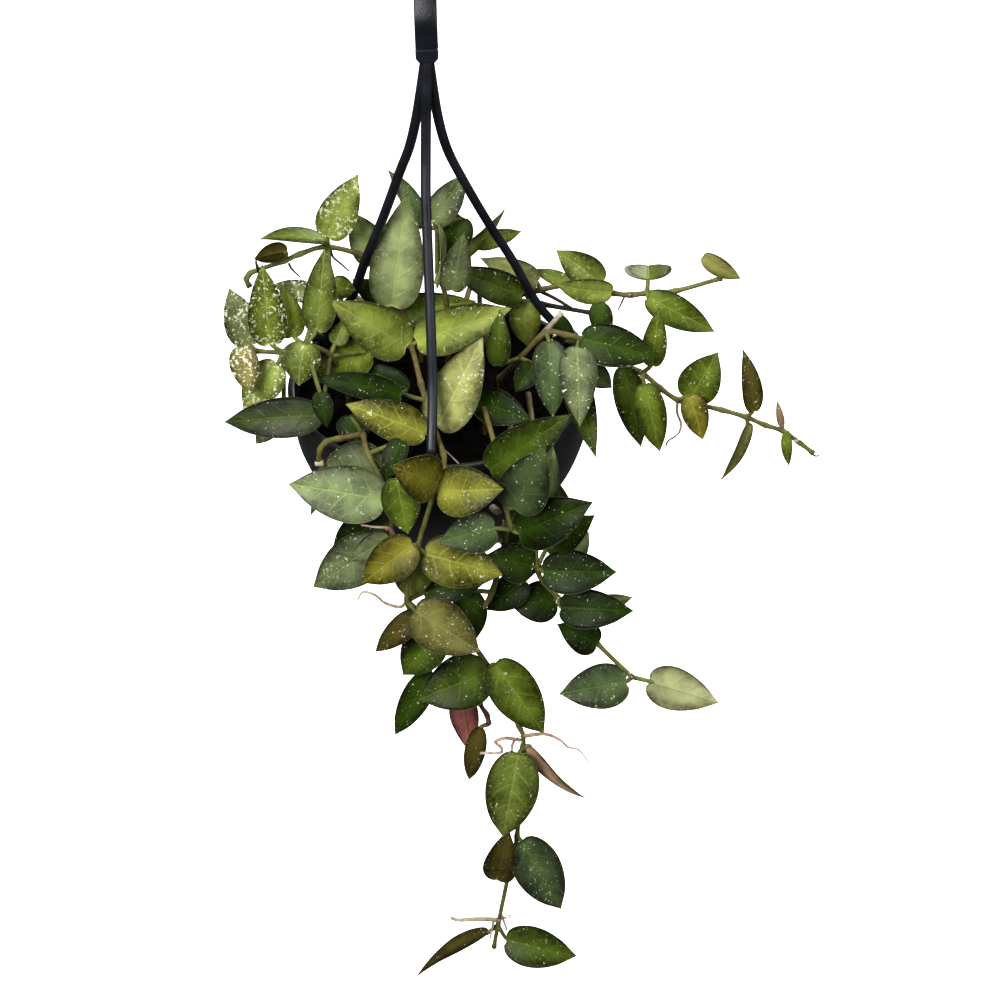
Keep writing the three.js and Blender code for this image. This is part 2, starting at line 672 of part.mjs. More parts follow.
const MATERIALS = {
  pot: new THREE.MeshStandardMaterial({ color: 0x26262a, roughness: 0.45, metalness: 0 }),
  hanger: new THREE.MeshStandardMaterial({ color: 0x2b2e38, roughness: 0.4, metalness: 0 }),
  mix: new THREE.MeshStandardMaterial({ color: 0x2a2019, roughness: 0.95, metalness: 0 }),
  vine: new THREE.MeshStandardMaterial({ color: 0x55703a, roughness: 0.4, metalness: 0 }),
};

function named(name, manifold, material) {
  const mesh = new THREE.Mesh(geometryOf(manifold), material);
  mesh.name = name;
  return mesh;
}

const vines = [...VINES.map(placedVine), ...TRAILING.map(trailingVine)];

const group = new THREE.Group();
group.position.z = -HOOK_ABOVE_RIM;
group.add(named("hanger", hanger(), MATERIALS.hanger));
group.add(named("pot", pot(), MATERIALS.pot));
group.add(named("potting_mix", pottingMix(vines.map((vine) => vine.root)), MATERIALS.mix));
for (const vine of vines) group.add(named(vine.name, vine.shape, MATERIALS.vine));

export default group;
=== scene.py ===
import random
from math import copysign, cos, exp, pi, radians, sin
import bpy
from mathutils import Matrix, Quaternion, Vector


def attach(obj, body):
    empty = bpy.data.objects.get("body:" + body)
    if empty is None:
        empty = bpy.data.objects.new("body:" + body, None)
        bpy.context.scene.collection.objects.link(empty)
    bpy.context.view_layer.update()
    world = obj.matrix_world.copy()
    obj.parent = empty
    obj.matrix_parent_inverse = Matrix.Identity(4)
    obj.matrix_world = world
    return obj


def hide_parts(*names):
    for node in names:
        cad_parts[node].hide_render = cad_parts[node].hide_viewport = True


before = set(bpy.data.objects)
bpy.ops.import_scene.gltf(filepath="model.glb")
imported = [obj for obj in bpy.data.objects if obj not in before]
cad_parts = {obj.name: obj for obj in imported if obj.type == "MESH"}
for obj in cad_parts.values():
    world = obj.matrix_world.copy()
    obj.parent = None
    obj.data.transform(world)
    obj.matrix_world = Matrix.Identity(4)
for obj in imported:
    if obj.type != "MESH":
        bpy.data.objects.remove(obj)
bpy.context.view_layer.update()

# A trailing wax plant in a round hanging pot. Sizes are millimetres in the basket's frame, whose
# height 0 is the rim plane. The part's origin is the hook's crown, this far above the rim.
HOOK_ABOVE_RIM = 234
MILLIMETRE = 0.001

# Pot and potting mix.
RIM_RADIUS = 75
LIP_RADIUS = 76.2
LIP_DEPTH = 5
POT_DEPTH = 85
BASE_RADIUS = 36
WALL = 1.8
GAP = 0.3
DRAIN_RADIUS = 2.4
DRAIN_CIRCLE = 22
DRAIN_COUNT = 6
# Outer wall between lip and base: (radius, height), shoulder first.
BELLY = [(74.6, -12), (73.2, -27), (68, -42), (60.5, -55), (49, -70)]
LATHE_STEPS = 144
MIX_LEVEL = -12
MIX_MOUND = 3
MIX_FOOT = -60
MIX_FOOT_RADIUS = 52
STEM_COLLAR = 5
CRUMB_SIZE = 2.1
CRUMB_ROUGHNESS = 0.6
# Crumbs lie where the surface's normal points up at least this much.
CRUMB_LEAST_UPWARD = 0.6
# Least and greatest turns of a crumb, in radians, and its least and greatest shares of its size.
CRUMB_TURNS = ((0, 0, 0), (6.28, 6.28, 6.28))
CRUMB_SIZES = ((0.25, 0.2, 0.15), (1.1, 0.7, 0.5))
CRUMBS_PER_SQUARE_METRE = 90000
CRUMB_SEED = 4

# Hanger.
STRAP_WIDTH = 10.5
STRAP_THICKNESS = 3
HUB_TOP = 183
HUB_BOTTOM = 176.5
HUB_DEPTH = 8
HUB_CHAMFER = 2
HUB_TAPER = 1.5
HANGER_BEVEL = 0.5
STRAND_RADIUS = 2.4
STRAND_AZIMUTHS = (-3, 118, -125)
# Each strand from hub to rim: distance from the axis, height, and sideways lean of the hanger.
STRAND_ROUTE = [
    (0.6, 179, 0), (3.4, 160, -0.8), (6.2, 144, -1.4), (10.4, 128, -1.8), (17, 112, -1.9),
    (29.3, 84, -1), (42.8, 56, 0), (55.2, 28, 0.5), (71.5, 4.6, 0),
]
HOOK_INNER_RADIUS = 12
CLIP_WIDTH = 7
CLIP_PLAY = 1.4
CLIP_WALL = 1.8
CLIP_TOP = 4
CLIP_LEG = 9
CLIP_BARB = 1.4

# Stems and leaves.
ROOT_DEPTH = 14
STEM_RADIUS = 1.5
STEM_TIP_RADIUS = 1.1
NODE_SWELLING = 0.45
NODE_REACH = 2.4
STEM_STEP = 2.5
STEM_SIDES = 12
STALK_RADIUS = 1.2
STALK_STEPS = 8
STALK_SIDES = 8
WHISKER_STEP = 1.6
# Blades. The arch is a share of the length, and the fold, lobes, droop and ripples are shares of
# the half width. The outline's formula peaks at BLADE_PEAK, which scales it to one.
BLADE_THICKNESS = 0.9
BLADE_ARCH = 0.07
BLADE_FOLD = 0.16
BLADE_LOBE = 0.32
BLADE_PEAK = 0.4066
EDGE_DROOP = 0.06
EDGE_THINNING = 0.45
RIPPLES = 1.4
RIPPLE_HEIGHT = 0.05
MIDRIB_WIDTH = 0.9
MIDRIB_GROOVE = 0.22
MIDRIB_KEEL = 0.55
BLADE_ROWS = 26
BLADE_COLUMNS = 17
# Each leaf's shade, so that some are a little darker.
SHADE_LEAST = 0.93
SHADE_SPREAD = 0.14
# Side veins: pairs on a blade, how they bend and curl towards its tip, how far one side lags
# behind the other, and how high the blade is quilted between them.
VEIN_PAIRS = 4.6
VEIN_BEND = 0.17
VEIN_CURL = 0.09
VEIN_STAGGER = 0.35
QUILT_HEIGHT = 0.06

# The standpoint from which the vines are laid out, as in the photograph. A place is across, up
# and front: across and up in the view, from the centre of the rim, and front is how far in
# front of the pot's axis the point lies.
SIGHT_DISTANCE = 1300
SIGHT_ELEVATION = 36
SIGHT_ROLL = -1.4
SIGHT_CENTRE = (-30, 60)
SIGHT_LENS = 93.6

# Finishes of the leaves: blade, veins, share of cream flecks and roughness. The greyish blades of
# the slate, silver and iron finishes are partly the leaves' own grey-green and partly painted
# sheen, standing in for the soft reflection of the lamps on their wax.
LOOKS = {
    "pitch": ("#141f06", "#33480f", 0.12, 0.42),
    "dark": ("#212d0a", "#42581a", 0.2, 0.4),
    "moss": ("#303c0e", "#5d6f28", 0.3, 0.38),
    "green": ("#414d14", "#7b8b38", 0.35, 0.36),
    "fresh": ("#56631e", "#92a048", 0.4, 0.36),
    "bright": ("#6c7730", "#a6b25c", 0.45, 0.36),
    "olive": ("#464816", "#9a9b44", 0.4, 0.38),
    "lime": ("#757c34", "#c0c868", 0.5, 0.36),
    "sage": ("#4f5a24", "#8e9c50", 0.4, 0.4),
    "tan": ("#686738", "#a19f5c", 0.4, 0.42),
    "rose": ("#a08468", "#c2a488", 0.25, 0.5),
    "umber": ("#4b480e", "#8a8638", 0.25, 0.4),
    "brown": ("#383212", "#625a2a", 0.35, 0.42),
    "russet": ("#7a6148", "#9a826a", 0.3, 0.5),
    "khaki": ("#5b5a2c", "#8c8a52", 0.4, 0.4),
    "iron": ("#30332a", "#50602c", 0.12, 0.36),
    "steel": ("#3d4832", "#5e7042", 0.35, 0.34),
    "grey": ("#535b42", "#828e5e", 0.4, 0.42),
    "slate": ("#6b755a", "#9eae70", 0.3, 0.4),
    "silver": ("#8a966c", "#b8c684", 0.3, 0.4),
    "red": ("#8f5652", "#b07a72", 0.1, 0.5),
    "under": ("#92966a", "#b0b486", 0.1, 0.5),
    "pale": ("#868c54", "#bcc07e", 0.6, 0.36),
    "fleck": ("#4f5a1c", "#92a048", 0.85, 0.36),
    "spangle": ("#6a7636", "#a0ae58", 0.9, 0.36),
    "ash": ("#545b3a", "#868e62", 1.0, 0.42),
    "gold": ("#6a6438", "#9c945c", 1.0, 0.42),
}
# How a blade's colour turns duskier towards its margin and its tip.
DUSK = (0.9, 0.76, 0.86)
# Cream dots: cells to the metre, how often a cell holds one, and least and largest share it fills.
DOT_SIZES = [(1000.0, 1.0, 0.16, 0.3), (520.0, 0.5, 0.12, 0.24), (210.0, 0.3, 0.07, 0.15)]
# How far the edges of flecks are torn, in metres, and the tints of flecks, margin and the pale
# line at the very edge, which is a painted highlight.
TEAR_REACH = 0.0022
FLECK_TINT = "#dddec0"
MARGIN_TINT = "#1d1e10"
EDGE_HIGHLIGHT_TINT = "#9a9f7c"
UNDERSIDE = ("#6d7a48", "#8f9a62", 0.0, 0.55)

# Barks: the tint at the foot and at the tip of a stem, or of a whisker that grows on one.
BARKS = {
    "plain": ("#6c5832", "#757a3e"),
    "mauve": ("#6a5a3c", "#7d5350"),
    # The black bark is painted shade: brown stems and roots deep inside the plant, darkened near
    # to black for the shade they lie in.
    "black": ("#1b1712", "#26211a"),
    "sawn": ("#6b5f44", "#d2c6ae"),
    "cream": ("#b09c7c", "#e2d8c2"),
    "pink": ("#c29d88", "#e8cfbe"),
    "dark": ("#3a3020", "#2c2419"),
}

# Papery scales cling in tufts to old nodes. The radii are those at foot, middle and tip.
SCALE_TINTS = ("#d8d0ba", "#b9ad90", "#8d7f62")
SCALES_PER_NODE = 6
SCALE_SPREAD = 2.6
SCALE_LENGTH = 1.5
SCALE_RADII = (0.15, 0.6, 0.12)

# The vines that the photograph shows, in rows of words, a colon and places. A vine has its name
# and, as x and front, where its first stem stands in the mix. The rows after it say what it has:
# a stem, by its bark and the places of its nodes; a whisker, which is an air root or a thread,
# by its bark, its radius at foot and tip and its places; and scales, by the nodes they cling to.
# A row that starts with a finish is a leaf: its width, its turn if it has one, and the places of
# its base and tip. Turn is how far a blade is turned about its midrib from facing the viewer:
# 90 is edge on, 180 shows its underside. A row that starts with spaces goes on with the last.
LAYOUT = """
vine vine_centre: -20 -45
stem plain: -14.5 17 5, -9.5 -2 28, -5.5 -17 46, -2 -27 58, 1.7 -37 70, 1.7 -44 80, -2.5 -55.5 90,
  -11 -83 93, -16.5 -110.5 94, -4 -131 86
whisker cream 0.9 0.5: -17 -111 92, -20 -113.5 92, -27.5 -111.5 92, -32.5 -107.5 92,
  -38.5 -106 92, -41 -109.5 92
whisker cream 0.45 0.3: 0.5 -33.5 62, 6 -38.5 66, 11 -43.5 68
scales: -4 -57 94
bright 25: -16.5 16.5 7, -55.5 40 20
bright 22.5: -12 19 6, 36 36 6
olive 20 10: -7 -27 55, -47.5 -12 48
pale 25: -1.5 -24 50, 21.5 21.5 38
umber 23: -1.5 -51.5 94, -24.5 -43 110
olive 24.5: -1 -56 92, 32 -54.5 100
olive 25: -8 -87 94, 31.5 -97.5 97
umber 21: -13 -82 96, -39 -101.5 100
bright 20: -11 -84 90, -16 -109 82
khaki 26: -13 -115 97, 20 -136 102
brown 13: -9.5 -116 95, -32.5 -136 98
moss 22: -1 -126 88, -18.5 -147.5 93
dark 15: -4.5 -145.5 84, -22.5 -177.5 88
pitch 14: -8 -106 84, 22.5 -101.5 84
vine vine_long: 34 22
stem plain: 36 -31 60, 36.5 -45 78, 34 -72 82, 26 -106 82, 15 -126 80, 24.5 -144 82, 39.5 -173 84,
  41.5 -184 85, 38.5 -228 84, 34.5 -246 84, 29 -272.5 84, 27 -283.5 83
stem mauve: 24.5 -144 82, 20 -160 79, 23.5 -167.5 79, 24.5 -172 80
whisker pink 1 0.7: 40 -180 85, 32.5 -179 87, 27.5 -181 88, 30 -183 88, 31 -185 88,
  29.5 -186.5 88, 20 -186.5 88
whisker cream 0.8 0.5: 37 -180.5 86, 36 -183 87, 36 -186.5 87
whisker pink 1.1 0.3: 42 -178 86, 52.5 -177 88, 60 -180 88, 64 -183.5 88, 69.5 -185 88,
  74.5 -191.5 88
whisker cream 1.3 0.9: 30.5 -270 85, 20 -269.5 87, 10 -270 88, 5.5 -269 88
whisker cream 0.8 0.5: 31 -268 86, 33.5 -275 87
whisker cream 0.8 0.5: 27 -270 86, 25 -279 87
scales: 40 -180 87, 33 -268 87
dark 17: 12.5 -105 79, 18.5 -129 82
moss 28: 24 -146 86, -11 -160 94
green 24: 27 -141.5 87, 52 -176.5 92
red 15 180: 10.5 -159.5 78, 16 -187.5 76
brown 11: 20 -173.5 80, 14.5 -200 78
sage 27.5: 39.5 -186 90, 31.5 -228.5 93
rose 13 64: 44 -182.5 86, 72.5 -209 88
brown 18: 28.5 -250 86, 34.5 -224.5 92
steel 25.5: 40.5 -230 87, 60.5 -264.5 91
brown 16 62: 24 -276 84, -11.5 -298 86
moss 22.5 10: 33 -280 86, 68.5 -288 92
vine vine_right_low: 44 8
stem plain: 47 -25 54, 52 -38 68, 50 -62 73, 48.5 -94 79, 59 -109 79, 78.5 -131.5 78, 96 -148.5 80
whisker cream 0.5 0.35: 31 -58 80, 31.5 -62.5 82
whisker cream 0.5 0.3: 32.5 -60 80, 35 -66 82, 37.5 -72.5 80
whisker cream 0.5 0.3: 31.5 -70 82, 33 -78 82
whisker cream 0.5 0.3: 28.5 -75.5 82, 31.5 -72.5 82
whisker cream 1.9 2: 29 -66 76, 26.5 -64 82
scales: 60 -109 81, 96 -148 82
dark 20: 46 -93 82, 22 -88 92
pitch 22: 51.5 -96 84, 88.5 -96 88
pitch 20: 60 -114 84, 97 -115.5 90
pitch 21: 58 -110 74, 35 -112.5 76
pitch 17: 42.5 -100 74, 23.5 -115 76
silver 15 180: 60 -92 70, 74.5 -76 66
grey 10 180: 72.5 -115 74, 96.5 -108.5 74
pitch 17: 78.5 -132 80, 58.5 -122 84
steel 23: 93.5 -151 82, 59.5 -157 86
under 22 180: 104.5 -150.5 82, 139.5 -161.5 84
moss 17: 53 -84 76, 77.5 -67.5 80
pitch 16: 47.5 -80.5 66, 29 -76 66
vine vine_front_right: 22 34
stem plain: 22 -14 40, 28 -35 66, 29.5 -41 75, 31 -50 82, 33 -64 88, 36 -75 90
pitch 18: 18 -10 36, 45.5 -20 52
moss 22: 24.5 -45 78, 66 -17 84
steel 25: 37 -64.5 92, 52.5 -33 96
silver 15: 50 -62.5 84, 56 -30.5 86
pitch 24: 39 -77 92, 76.5 -61 98
steel 20: 27.5 -74 94, -0.5 -81 102
vine vine_front_left: -40 25
stem plain: -38.5 -27 56, -36 -37 74, -26 -58 84, -24 -78 84, -22 -92 82
stem plain: -38.5 -27 56, -51 -29.5 60, -57 -31 63, -60 -35 64, -60.5 -40.5 64
whisker pink 0.9 0.5: -23 -77 85, -26 -74 89, -32.5 -73.5 91, -39.5 -72.5 92
whisker cream 1.7 1.2: -58 -41.5 65, -62.5 -42 65
slate 27.5: -28 -60 88, -76 -52 84
green 18.5: -22 -49 88, -16 -77 94
grey 28: -27.5 -45 74, -61 -45 62
pitch 12 20: -19 -30 72, -27 -50 82
grey 13: -25.5 -79 88, -45 -90.5 94
grey 25: -29 -82 84, -63.5 -103.5 86
pitch 19: -28 -70 76, -53.5 -83 72
pitch 17: -45 -17.5 42, -39 -33.5 58
vine vine_left: -46 4
stem plain: -55 12 14, -67.5 17.5 16, -78.5 14 14, -92 14.5 12
iron 20: -59 -17.5 42, -108 -21 34
pitch 10: -60 -6 46, -56.5 -24 54
grey 12: -78 -14 18, -92 -32 14
spangle 19: -81 8 16, -98.5 -14.5 20
sage 22 30: -67 18 20, -70.5 -3 30
fleck 19: -85 17.5 14, -89 58 8
ash 18: -95 17.5 10, -105.5 46 2
gold 14.5: -99.5 16.5 18, -95 -7 30
fresh 15: -73.5 21.5 10, -79 47.5 2
sage 17: -61.5 24 11, -57.5 66.5 0
sage 10: -52.5 18 10, -47 30 2
fresh 20: -35 14 0, -65.5 3.5 16
ash 11: -60 42 0, -83.5 48 -6
vine vine_low_middle: -24 8
stem plain: -20 -7 20, -22 -9 30
pitch 14 20: -19 -8 30, -64 1 30
pitch 13: -16 -5 10, -40 7.5 -2
pitch 14: -8 -10 24, 14 -20 40
vine vine_upper_left: -10 -32
stem plain: -24 43 -36, -37 60.5 -34, -56 66.5 -31, -70 63 -28, -78 59.5 -26, -95 53.5 -23,
  -97 50.5 -22, -95 46.5 -21
whisker dark 0.7 0.35: -75.5 58.5 -25, -74.5 56 -24, -70 51.5 -23
whisker dark 0.7 0.4: -55 66 -31, -53.5 61.5 -30, -50 58.5 -29, -45.5 54.5 -28
whisker dark 1.1 0.2: -90.5 54 -23, -92 59 -22, -91.5 62 -22
spangle 19.5: -56.5 71.5 -28, -41 103 -33
green 19 66: -57 69.5 -29, -90 70.5 -22
brown 11 150: -76.5 64.5 -24, -93 60.5 -14
silver 19: -31 59 -42, -44.5 84.5 -42
silver 27: -24 36.5 -27, -16.5 94 -28
green 17: -27 33 -42, 18.5 39.5 -38
green 12: -54.5 47 -21, -42 45 -22
dark 13: -26 39 -38, -44 50.5 -38
vine vine_top: 4 -24
stem plain: 3 40 -16, -1 54 -14, -1.5 76 -14
grey 15.5: -3.5 79 -12, 13 103 -20
steel 13 40: -8.5 76 -34, -26 105 -54
dark 18: 11.5 81.5 -20, 0 59 -16
silver 18 80: -1.5 47.5 -8, -1 79 -8
grey 15: 6 44.5 1, 12 74 -2
bright 19 70: 2 58.5 -15, 32.5 85.5 -41
green 9.5: 17 67.5 -30, 41 74.5 -38
vine vine_right_top: 20 -34
stem plain: 37.5 40 -34, 50 45 -35, 67.5 47.5 -33, 86 43.5 -29, 95.5 42.5 -27, 103.5 43.5 -26,
  117.5 44.5 -25, 141 51 -25
stem black: 37.5 40 -34, 50.5 38 -37, 76 33.5 -24
whisker dark 0.6 0.35: 92.5 42.5 -27, 90.5 38 -26, 89 35 -26
whisker black 1 0.8: 51 44 -36, 58 40.5 -32, 65.5 36 -28
scales: 96 42 -25
moss 17: 41 42 -25, 4.5 56 -17
pale 14: 49 49 -34, 20 61 -28
sage 8: 66 48 -38, 46 55.5 -41
bright 16: 42 39.5 -32, 43.5 17 -28
sage 17: 80.5 48.5 -26, 58 65 -28
bright 15 -30: 86 44 -24, 57.5 48 -22
dark 12: 79 38.5 -20, 83 20 -14
green 24: 104 50 -28, 104 57 -58
tan 10 20: 131.5 62 -22, 150.5 50.5 -20
green 16.5: 103.5 41.5 -22, 137.5 24 -16
vine vine_right: 30 -6
stem plain: 30 1 8, 40 11 10, 53 23.5 10, 62.5 22.5 10, 70 20.5 9, 85 11.5 6, 101 3.5 6, 110 -4 6,
  119 -10 7, 130 -12.5 8, 141 -15 8, 153 -18.5 8, 162.5 -22.5 8, 171.5 -25.5 8, 180 -31.5 8,
  186.5 -36.5 8
stem sawn: 50 21 10, 61 34 5
whisker pink 0.8 0.45: 119 -9 7, 118.5 -16 8, 120.5 -22 9, 119 -27 10, 114 -30.5 10, 113 -33 10
whisker dark 0.8 0.5: 110.5 -5 6, 106.5 -9.5 8, 105.5 -12.5 8
whisker dark 0.9 0.25: 184 -34.5 8, 187.5 -38 8, 190 -37.5 8
scales: 101 3 8, 56 22 12, 179 -31 9
moss 12: 29 7 20, 30 35 10
pitch 12: 47 8 20, 37.5 -6 28
steel 18: 54.5 19.5 16, 56.5 -19 34
grey 19: 68.5 16.5 16, 70 -23.5 50
moss 15: 65 7.5 10, 78 -39 54
steel 12: 74 6 6, 86 -4 12
pitch 10: 63 18.5 2, 60 34 -4
dark 21: 70.5 20.5 14, 109.5 11.5 20
green 12.5: 106 7 9, 109.5 36.5 4
moss 16: 91.5 7 6, 100.5 -33.5 12
green 16: 102 -2 12, 110 -36 20
green 21: 125 -9.5 6, 139 14 2
umber 13.5: 125 -7.5 12, 131.5 -30 20
brown 11 20: 157 -16 8, 151.5 15.5 2
tan 11 -60: 154.5 -21.5 9, 140.5 -50 14
green 6 20: 173.5 -25.5 9, 174.5 -43 12
russet 4: 171 -23.5 8, 168.5 -10 6
"""

# Vines that trail down the back, each by rule: its name, where it stands in the pot and passes
# the rim (degrees clockwise from the front, seen from above), how far out and how far down it
# hangs, how far it swings sideways on the way, and the seed of its small differences.
TRAILING = [
    ("vine_back_1", 147, 87, 108, 6, 11),
    ("vine_back_2", 168, 104, 148, 4, 23),
    ("vine_back_3", 191, 87, 114, -4, 37),
    ("vine_back_4", 213, 104, 112, -6, 51),
]
# On its way, each stands this far from the axis in the mix, then passes these two points, given
# by distance from the axis and height. The second is drawn towards where the vine will hang.
TRAIL_FOOT = 46
TRAIL_CREST = (64, 7)
TRAIL_EDGE = (78, 5)
TRAIL_NODE_STEP = 37
TRAIL_LEAF_LENGTH = 37
TRAIL_LEAF_WIDTH = 22
TRAIL_LEAF_STALK = 5
# How steeply the leaves of a pair hang, in degrees: at even nodes, at odd ones, and the spread.
TRAIL_DROPS = (34, 64)
TRAIL_DROP_SPREAD = 18
TRAIL_LOOKS = ("green", "olive", "fleck", "dark", "grey", "lime")
# Numbers for small differences: each is the last one times the factor, wrapped at the range.
SEED_STEP = 7919
NUMBER_FACTOR = 16807
NUMBER_RANGE = 2147483647

# The plain materials. The scales are those of the patches and of the grain. Patches blend the
# first tone into the second, and the third lies on it in specks of the grain or, where they are
# given, in scuffs. No first tone means the painted tint. Blend and specks are (low, high, least
# share, greatest share), with shares from 0 to 1 where none are given. Rough names what the
# roughness follows, and its range.
SURFACES = {
    "stem skin": {
        "scales": (260.0, 2600.0), "tones": (None, "#2b2417", "#a89c7e"),
        "blend": (0.35, 0.7, 0.0, 0.45), "specks": (0.6, 0.72, 0.0, 0.35),
        "rough": ("Patches", 0.45, 0.65), "relief": 0.0004},
    "charcoal plastic": {
        "scales": (45.0, 1800.0), "tones": ("#121214", "#1e1e20", "#3b352b"),
        "blend": (0.3, 0.7), "scuffs": (320.0, 4.0, 0.65), "specks": (0.56, 0.7, 0.0, 0.3),
        "rough": ("Patches", 0.36, 0.52), "relief": 0.0001},
    "blue-black plastic": {
        "scales": (60.0, 1500.0), "tones": ("#14161d", "#22252f", "#3d404a"),
        "blend": (0.3, 0.7), "scuffs": (900.0, 5.0, 0.7), "specks": (0.6, 0.72, 0.0, 0.2),
        "rough": ("Patches", 0.3, 0.45), "relief": 0.00012},
    # The near-black tones of the potting mix are partly its own dark colour and partly painted
    # shade, for the shade it lies in inside the pot.
    "potting mix": {
        "scales": (300.0, 2200.0), "tones": ("#050403", "#130d08", "#3f3526"),
        "blend": (0.35, 0.65), "specks": (0.68, 0.76, 0.0, 0.4), "specular": 0.08,
        "rough": ("Grain", 0.8, 0.98), "relief": 0.0012},
}

# The stage, in millimetres from the rim plane, and its lamps in metres from the hook:
# name, position, size, power and colour.
FLOOR_REACH = 9000
FLOOR_LEVEL = -900
WORLD_LIGHT = 0.13
LAMP_AIM = (0, 0, -0.25)
LAMPS = [
    ("key", (-0.9, -1.6, 1.3), 1.0, 53, (1.0, 0.99, 0.97)),
    ("fill", (1.6, -1.4, 0.5), 1.2, 14, (0.97, 0.98, 1.0)),
    ("top", (0.1, 0.5, 1.9), 1.4, 30, (1.0, 1.0, 1.0)),
    ("back", (0.9, 1.8, 0.3), 1.4, 26, (1.0, 1.0, 1.0)),
]


def read_layout(text):
    """The vines of the layout: the words and places of each row, kept by its kind."""
    vines = []
    for row in text.strip().replace(",\n  ", ", ").split("\n"):
        head, spots = row.split(":")
        words = head.split()
        kind = "leaf" if words[0] in LOOKS else words.pop(0)
        places = [tuple(float(number) for number in spot.split()) for spot in spots.split(",")]
        if kind == "vine":
            vines.append({"name": words[0], "root": places[0],
                          "stem": [], "whisker": [], "scales": [], "leaf": []})
        else:
            vines[-1][kind].append((words, places))
    return vines


def tone(code):
    """Linear colour of a hex code."""
    shares = (int(code[i:i + 2], 16) / 255 for i in (1, 3, 5))
    return tuple(c / 12.92 if c <= 0.04045 else ((c + 0.055) / 1.055) ** 2.4 for c in shares)


def blend_tones(first, second, share):
    return tuple(a + (b - a) * share for a, b in zip(first, second))


def metres(point):
    """A point of the basket in the part's frame."""
    return (point[0] * MILLIMETRE, point[1] * MILLIMETRE, (point[2] - HOOK_ABOVE_RIM) * MILLIMETRE)


def sight_directions():
    """The standpoint and the right, up and forward directions of the view."""
    tilt = radians(SIGHT_ELEVATION)
    roll = radians(SIGHT_ROLL)
    forward = Vector((0, cos(tilt), -sin(tilt)))
    level = Vector((1, 0, 0))
    upright = Vector((0, sin(tilt), cos(tilt)))
    right = level * cos(roll) + upright * sin(roll)
    up = upright * cos(roll) - level * sin(roll)
    eye = -SIGHT_DISTANCE * forward - SIGHT_CENTRE[0] * right - SIGHT_CENTRE[1] * up
    return eye, right, up, forward


EYE, RIGHT, UP, FORWARD = sight_directions()


def new_object(name, data):
    """An object of this data, in the scene."""
    obj = bpy.data.objects.new(name, data)
    bpy.context.scene.collection.objects.link(obj)
    return obj


def place(spot):
    """The point on the line of sight through (across, up) that lies `front` before the axis."""
    across, up, front = spot
    ray = FORWARD * SIGHT_DISTANCE
    ray += RIGHT * (across + SIGHT_CENTRE[0]) + UP * (up + SIGHT_CENTRE[1])
    return EYE + ray * ((-front - EYE.y) / ray.y)


def around(degrees, distance, height):
    """A point at an azimuth, clockwise from the front as seen from above."""
    turn = radians(degrees)
    return Vector((distance * sin(turn), -distance * cos(turn), height))


class Shape:
    """Points, faces and paint of one piece. Each point's paint is its tint, its vein colour,
    its place on a blade (across, along, half width) and its traits (flecks, roughness, side)."""

    def __init__(self):
        self.points = []
        self.faces = []
        self.slots = []
        self.paint = []

    def add_point(self, point, paint):
        self.points.append(point)
        self.paint.append(paint)
        return len(self.points) - 1

    def add_face(self, corners, slot=0):
        self.faces.append(corners)
        self.slots.append(slot)

    def add_strip(self, first, second, slot=0, closed=True):
        """Faces between two rows of points that run the same way."""
        count = len(first)
        for j in range(count if closed else count - 1):
            k = (j + 1) % count
            self.add_face((first[j], first[k], second[k], second[j]), slot)

    def add_rings(self, rings, slot=0):
        """A closed body through rings of points that run the same way."""
        for first, second in zip(rings, rings[1:]):
            self.add_strip(first, second, slot)
        self.add_face(tuple(reversed(rings[0])), slot)
        self.add_face(tuple(rings[-1]), slot)

    def piece(self, name, materials, smooth=True):
        """A Blender object of this shape, at the origin of the part."""
        mesh = bpy.data.meshes.new(name)
        mesh.from_pydata([metres(point) for point in self.points], [], self.faces)
        for material in materials:
            mesh.materials.append(material)
        mesh.polygons.foreach_set("material_index", self.slots)
        mesh.polygons.foreach_set("use_smooth", [smooth] * len(self.faces))
        if any(self.paint):
            self.write_paint(mesh)
        mesh.update()
        return new_object(name, mesh)

    def write_paint(self, mesh):
        """Stores the paint as the point attributes that the materials read."""
        for order, name in enumerate(("tint", "vein", "blade", "trait")):
            coloured = order < 2
            kind, field = ("FLOAT_COLOR", "color") if coloured else ("FLOAT_VECTOR", "vector")
            layer = mesh.attributes.new(name, kind, "POINT")
            ending = (1.0,) if coloured else ()
            values = [number for paint in self.paint for number in (*paint[order], *ending)]
            layer.data.foreach_set(field, values)


def bark_paint(tint):
    """Paint of a stem, stalk or root."""
    return (tint, tint, (0, 0, 0), (0, 0.6, 0))


def add_bar(shape, path, aside, sections, paints, slot=0):
    """A closed bar along a path, with a section and a paint at each of its points. Corners of a
    section are (a, b), where a runs along `aside`."""
    rings = []
    for i, point in enumerate(path):
        heading = (path[min(i + 1, len(path) - 1)] - path[max(i - 1, 0)]).normalized()
        aside = (aside - heading * aside.dot(heading)).normalized()
        second = heading.cross(aside)
        rings.append([shape.add_point(point + aside * a + second * b, paints[i])
                      for a, b in sections[i]])
    shape.add_rings(rings, slot)


def add_tube(shape, path, radii, sides, tints, slot=0):
    """A closed round bar along a path, with a radius and a tint at each of its points."""
    heading = path[1] - path[0]
    aside = Vector((0, 0, 1)) if abs(heading.x) > abs(heading.z) else Vector((1, 0, 0))
    turns = [2 * pi * j / sides for j in range(sides)]
    sections = [[(radius * cos(turn), radius * sin(turn)) for turn in turns]
                for radius in radii]
    add_bar(shape, path, aside, sections, [bark_paint(tint) for tint in tints], slot)


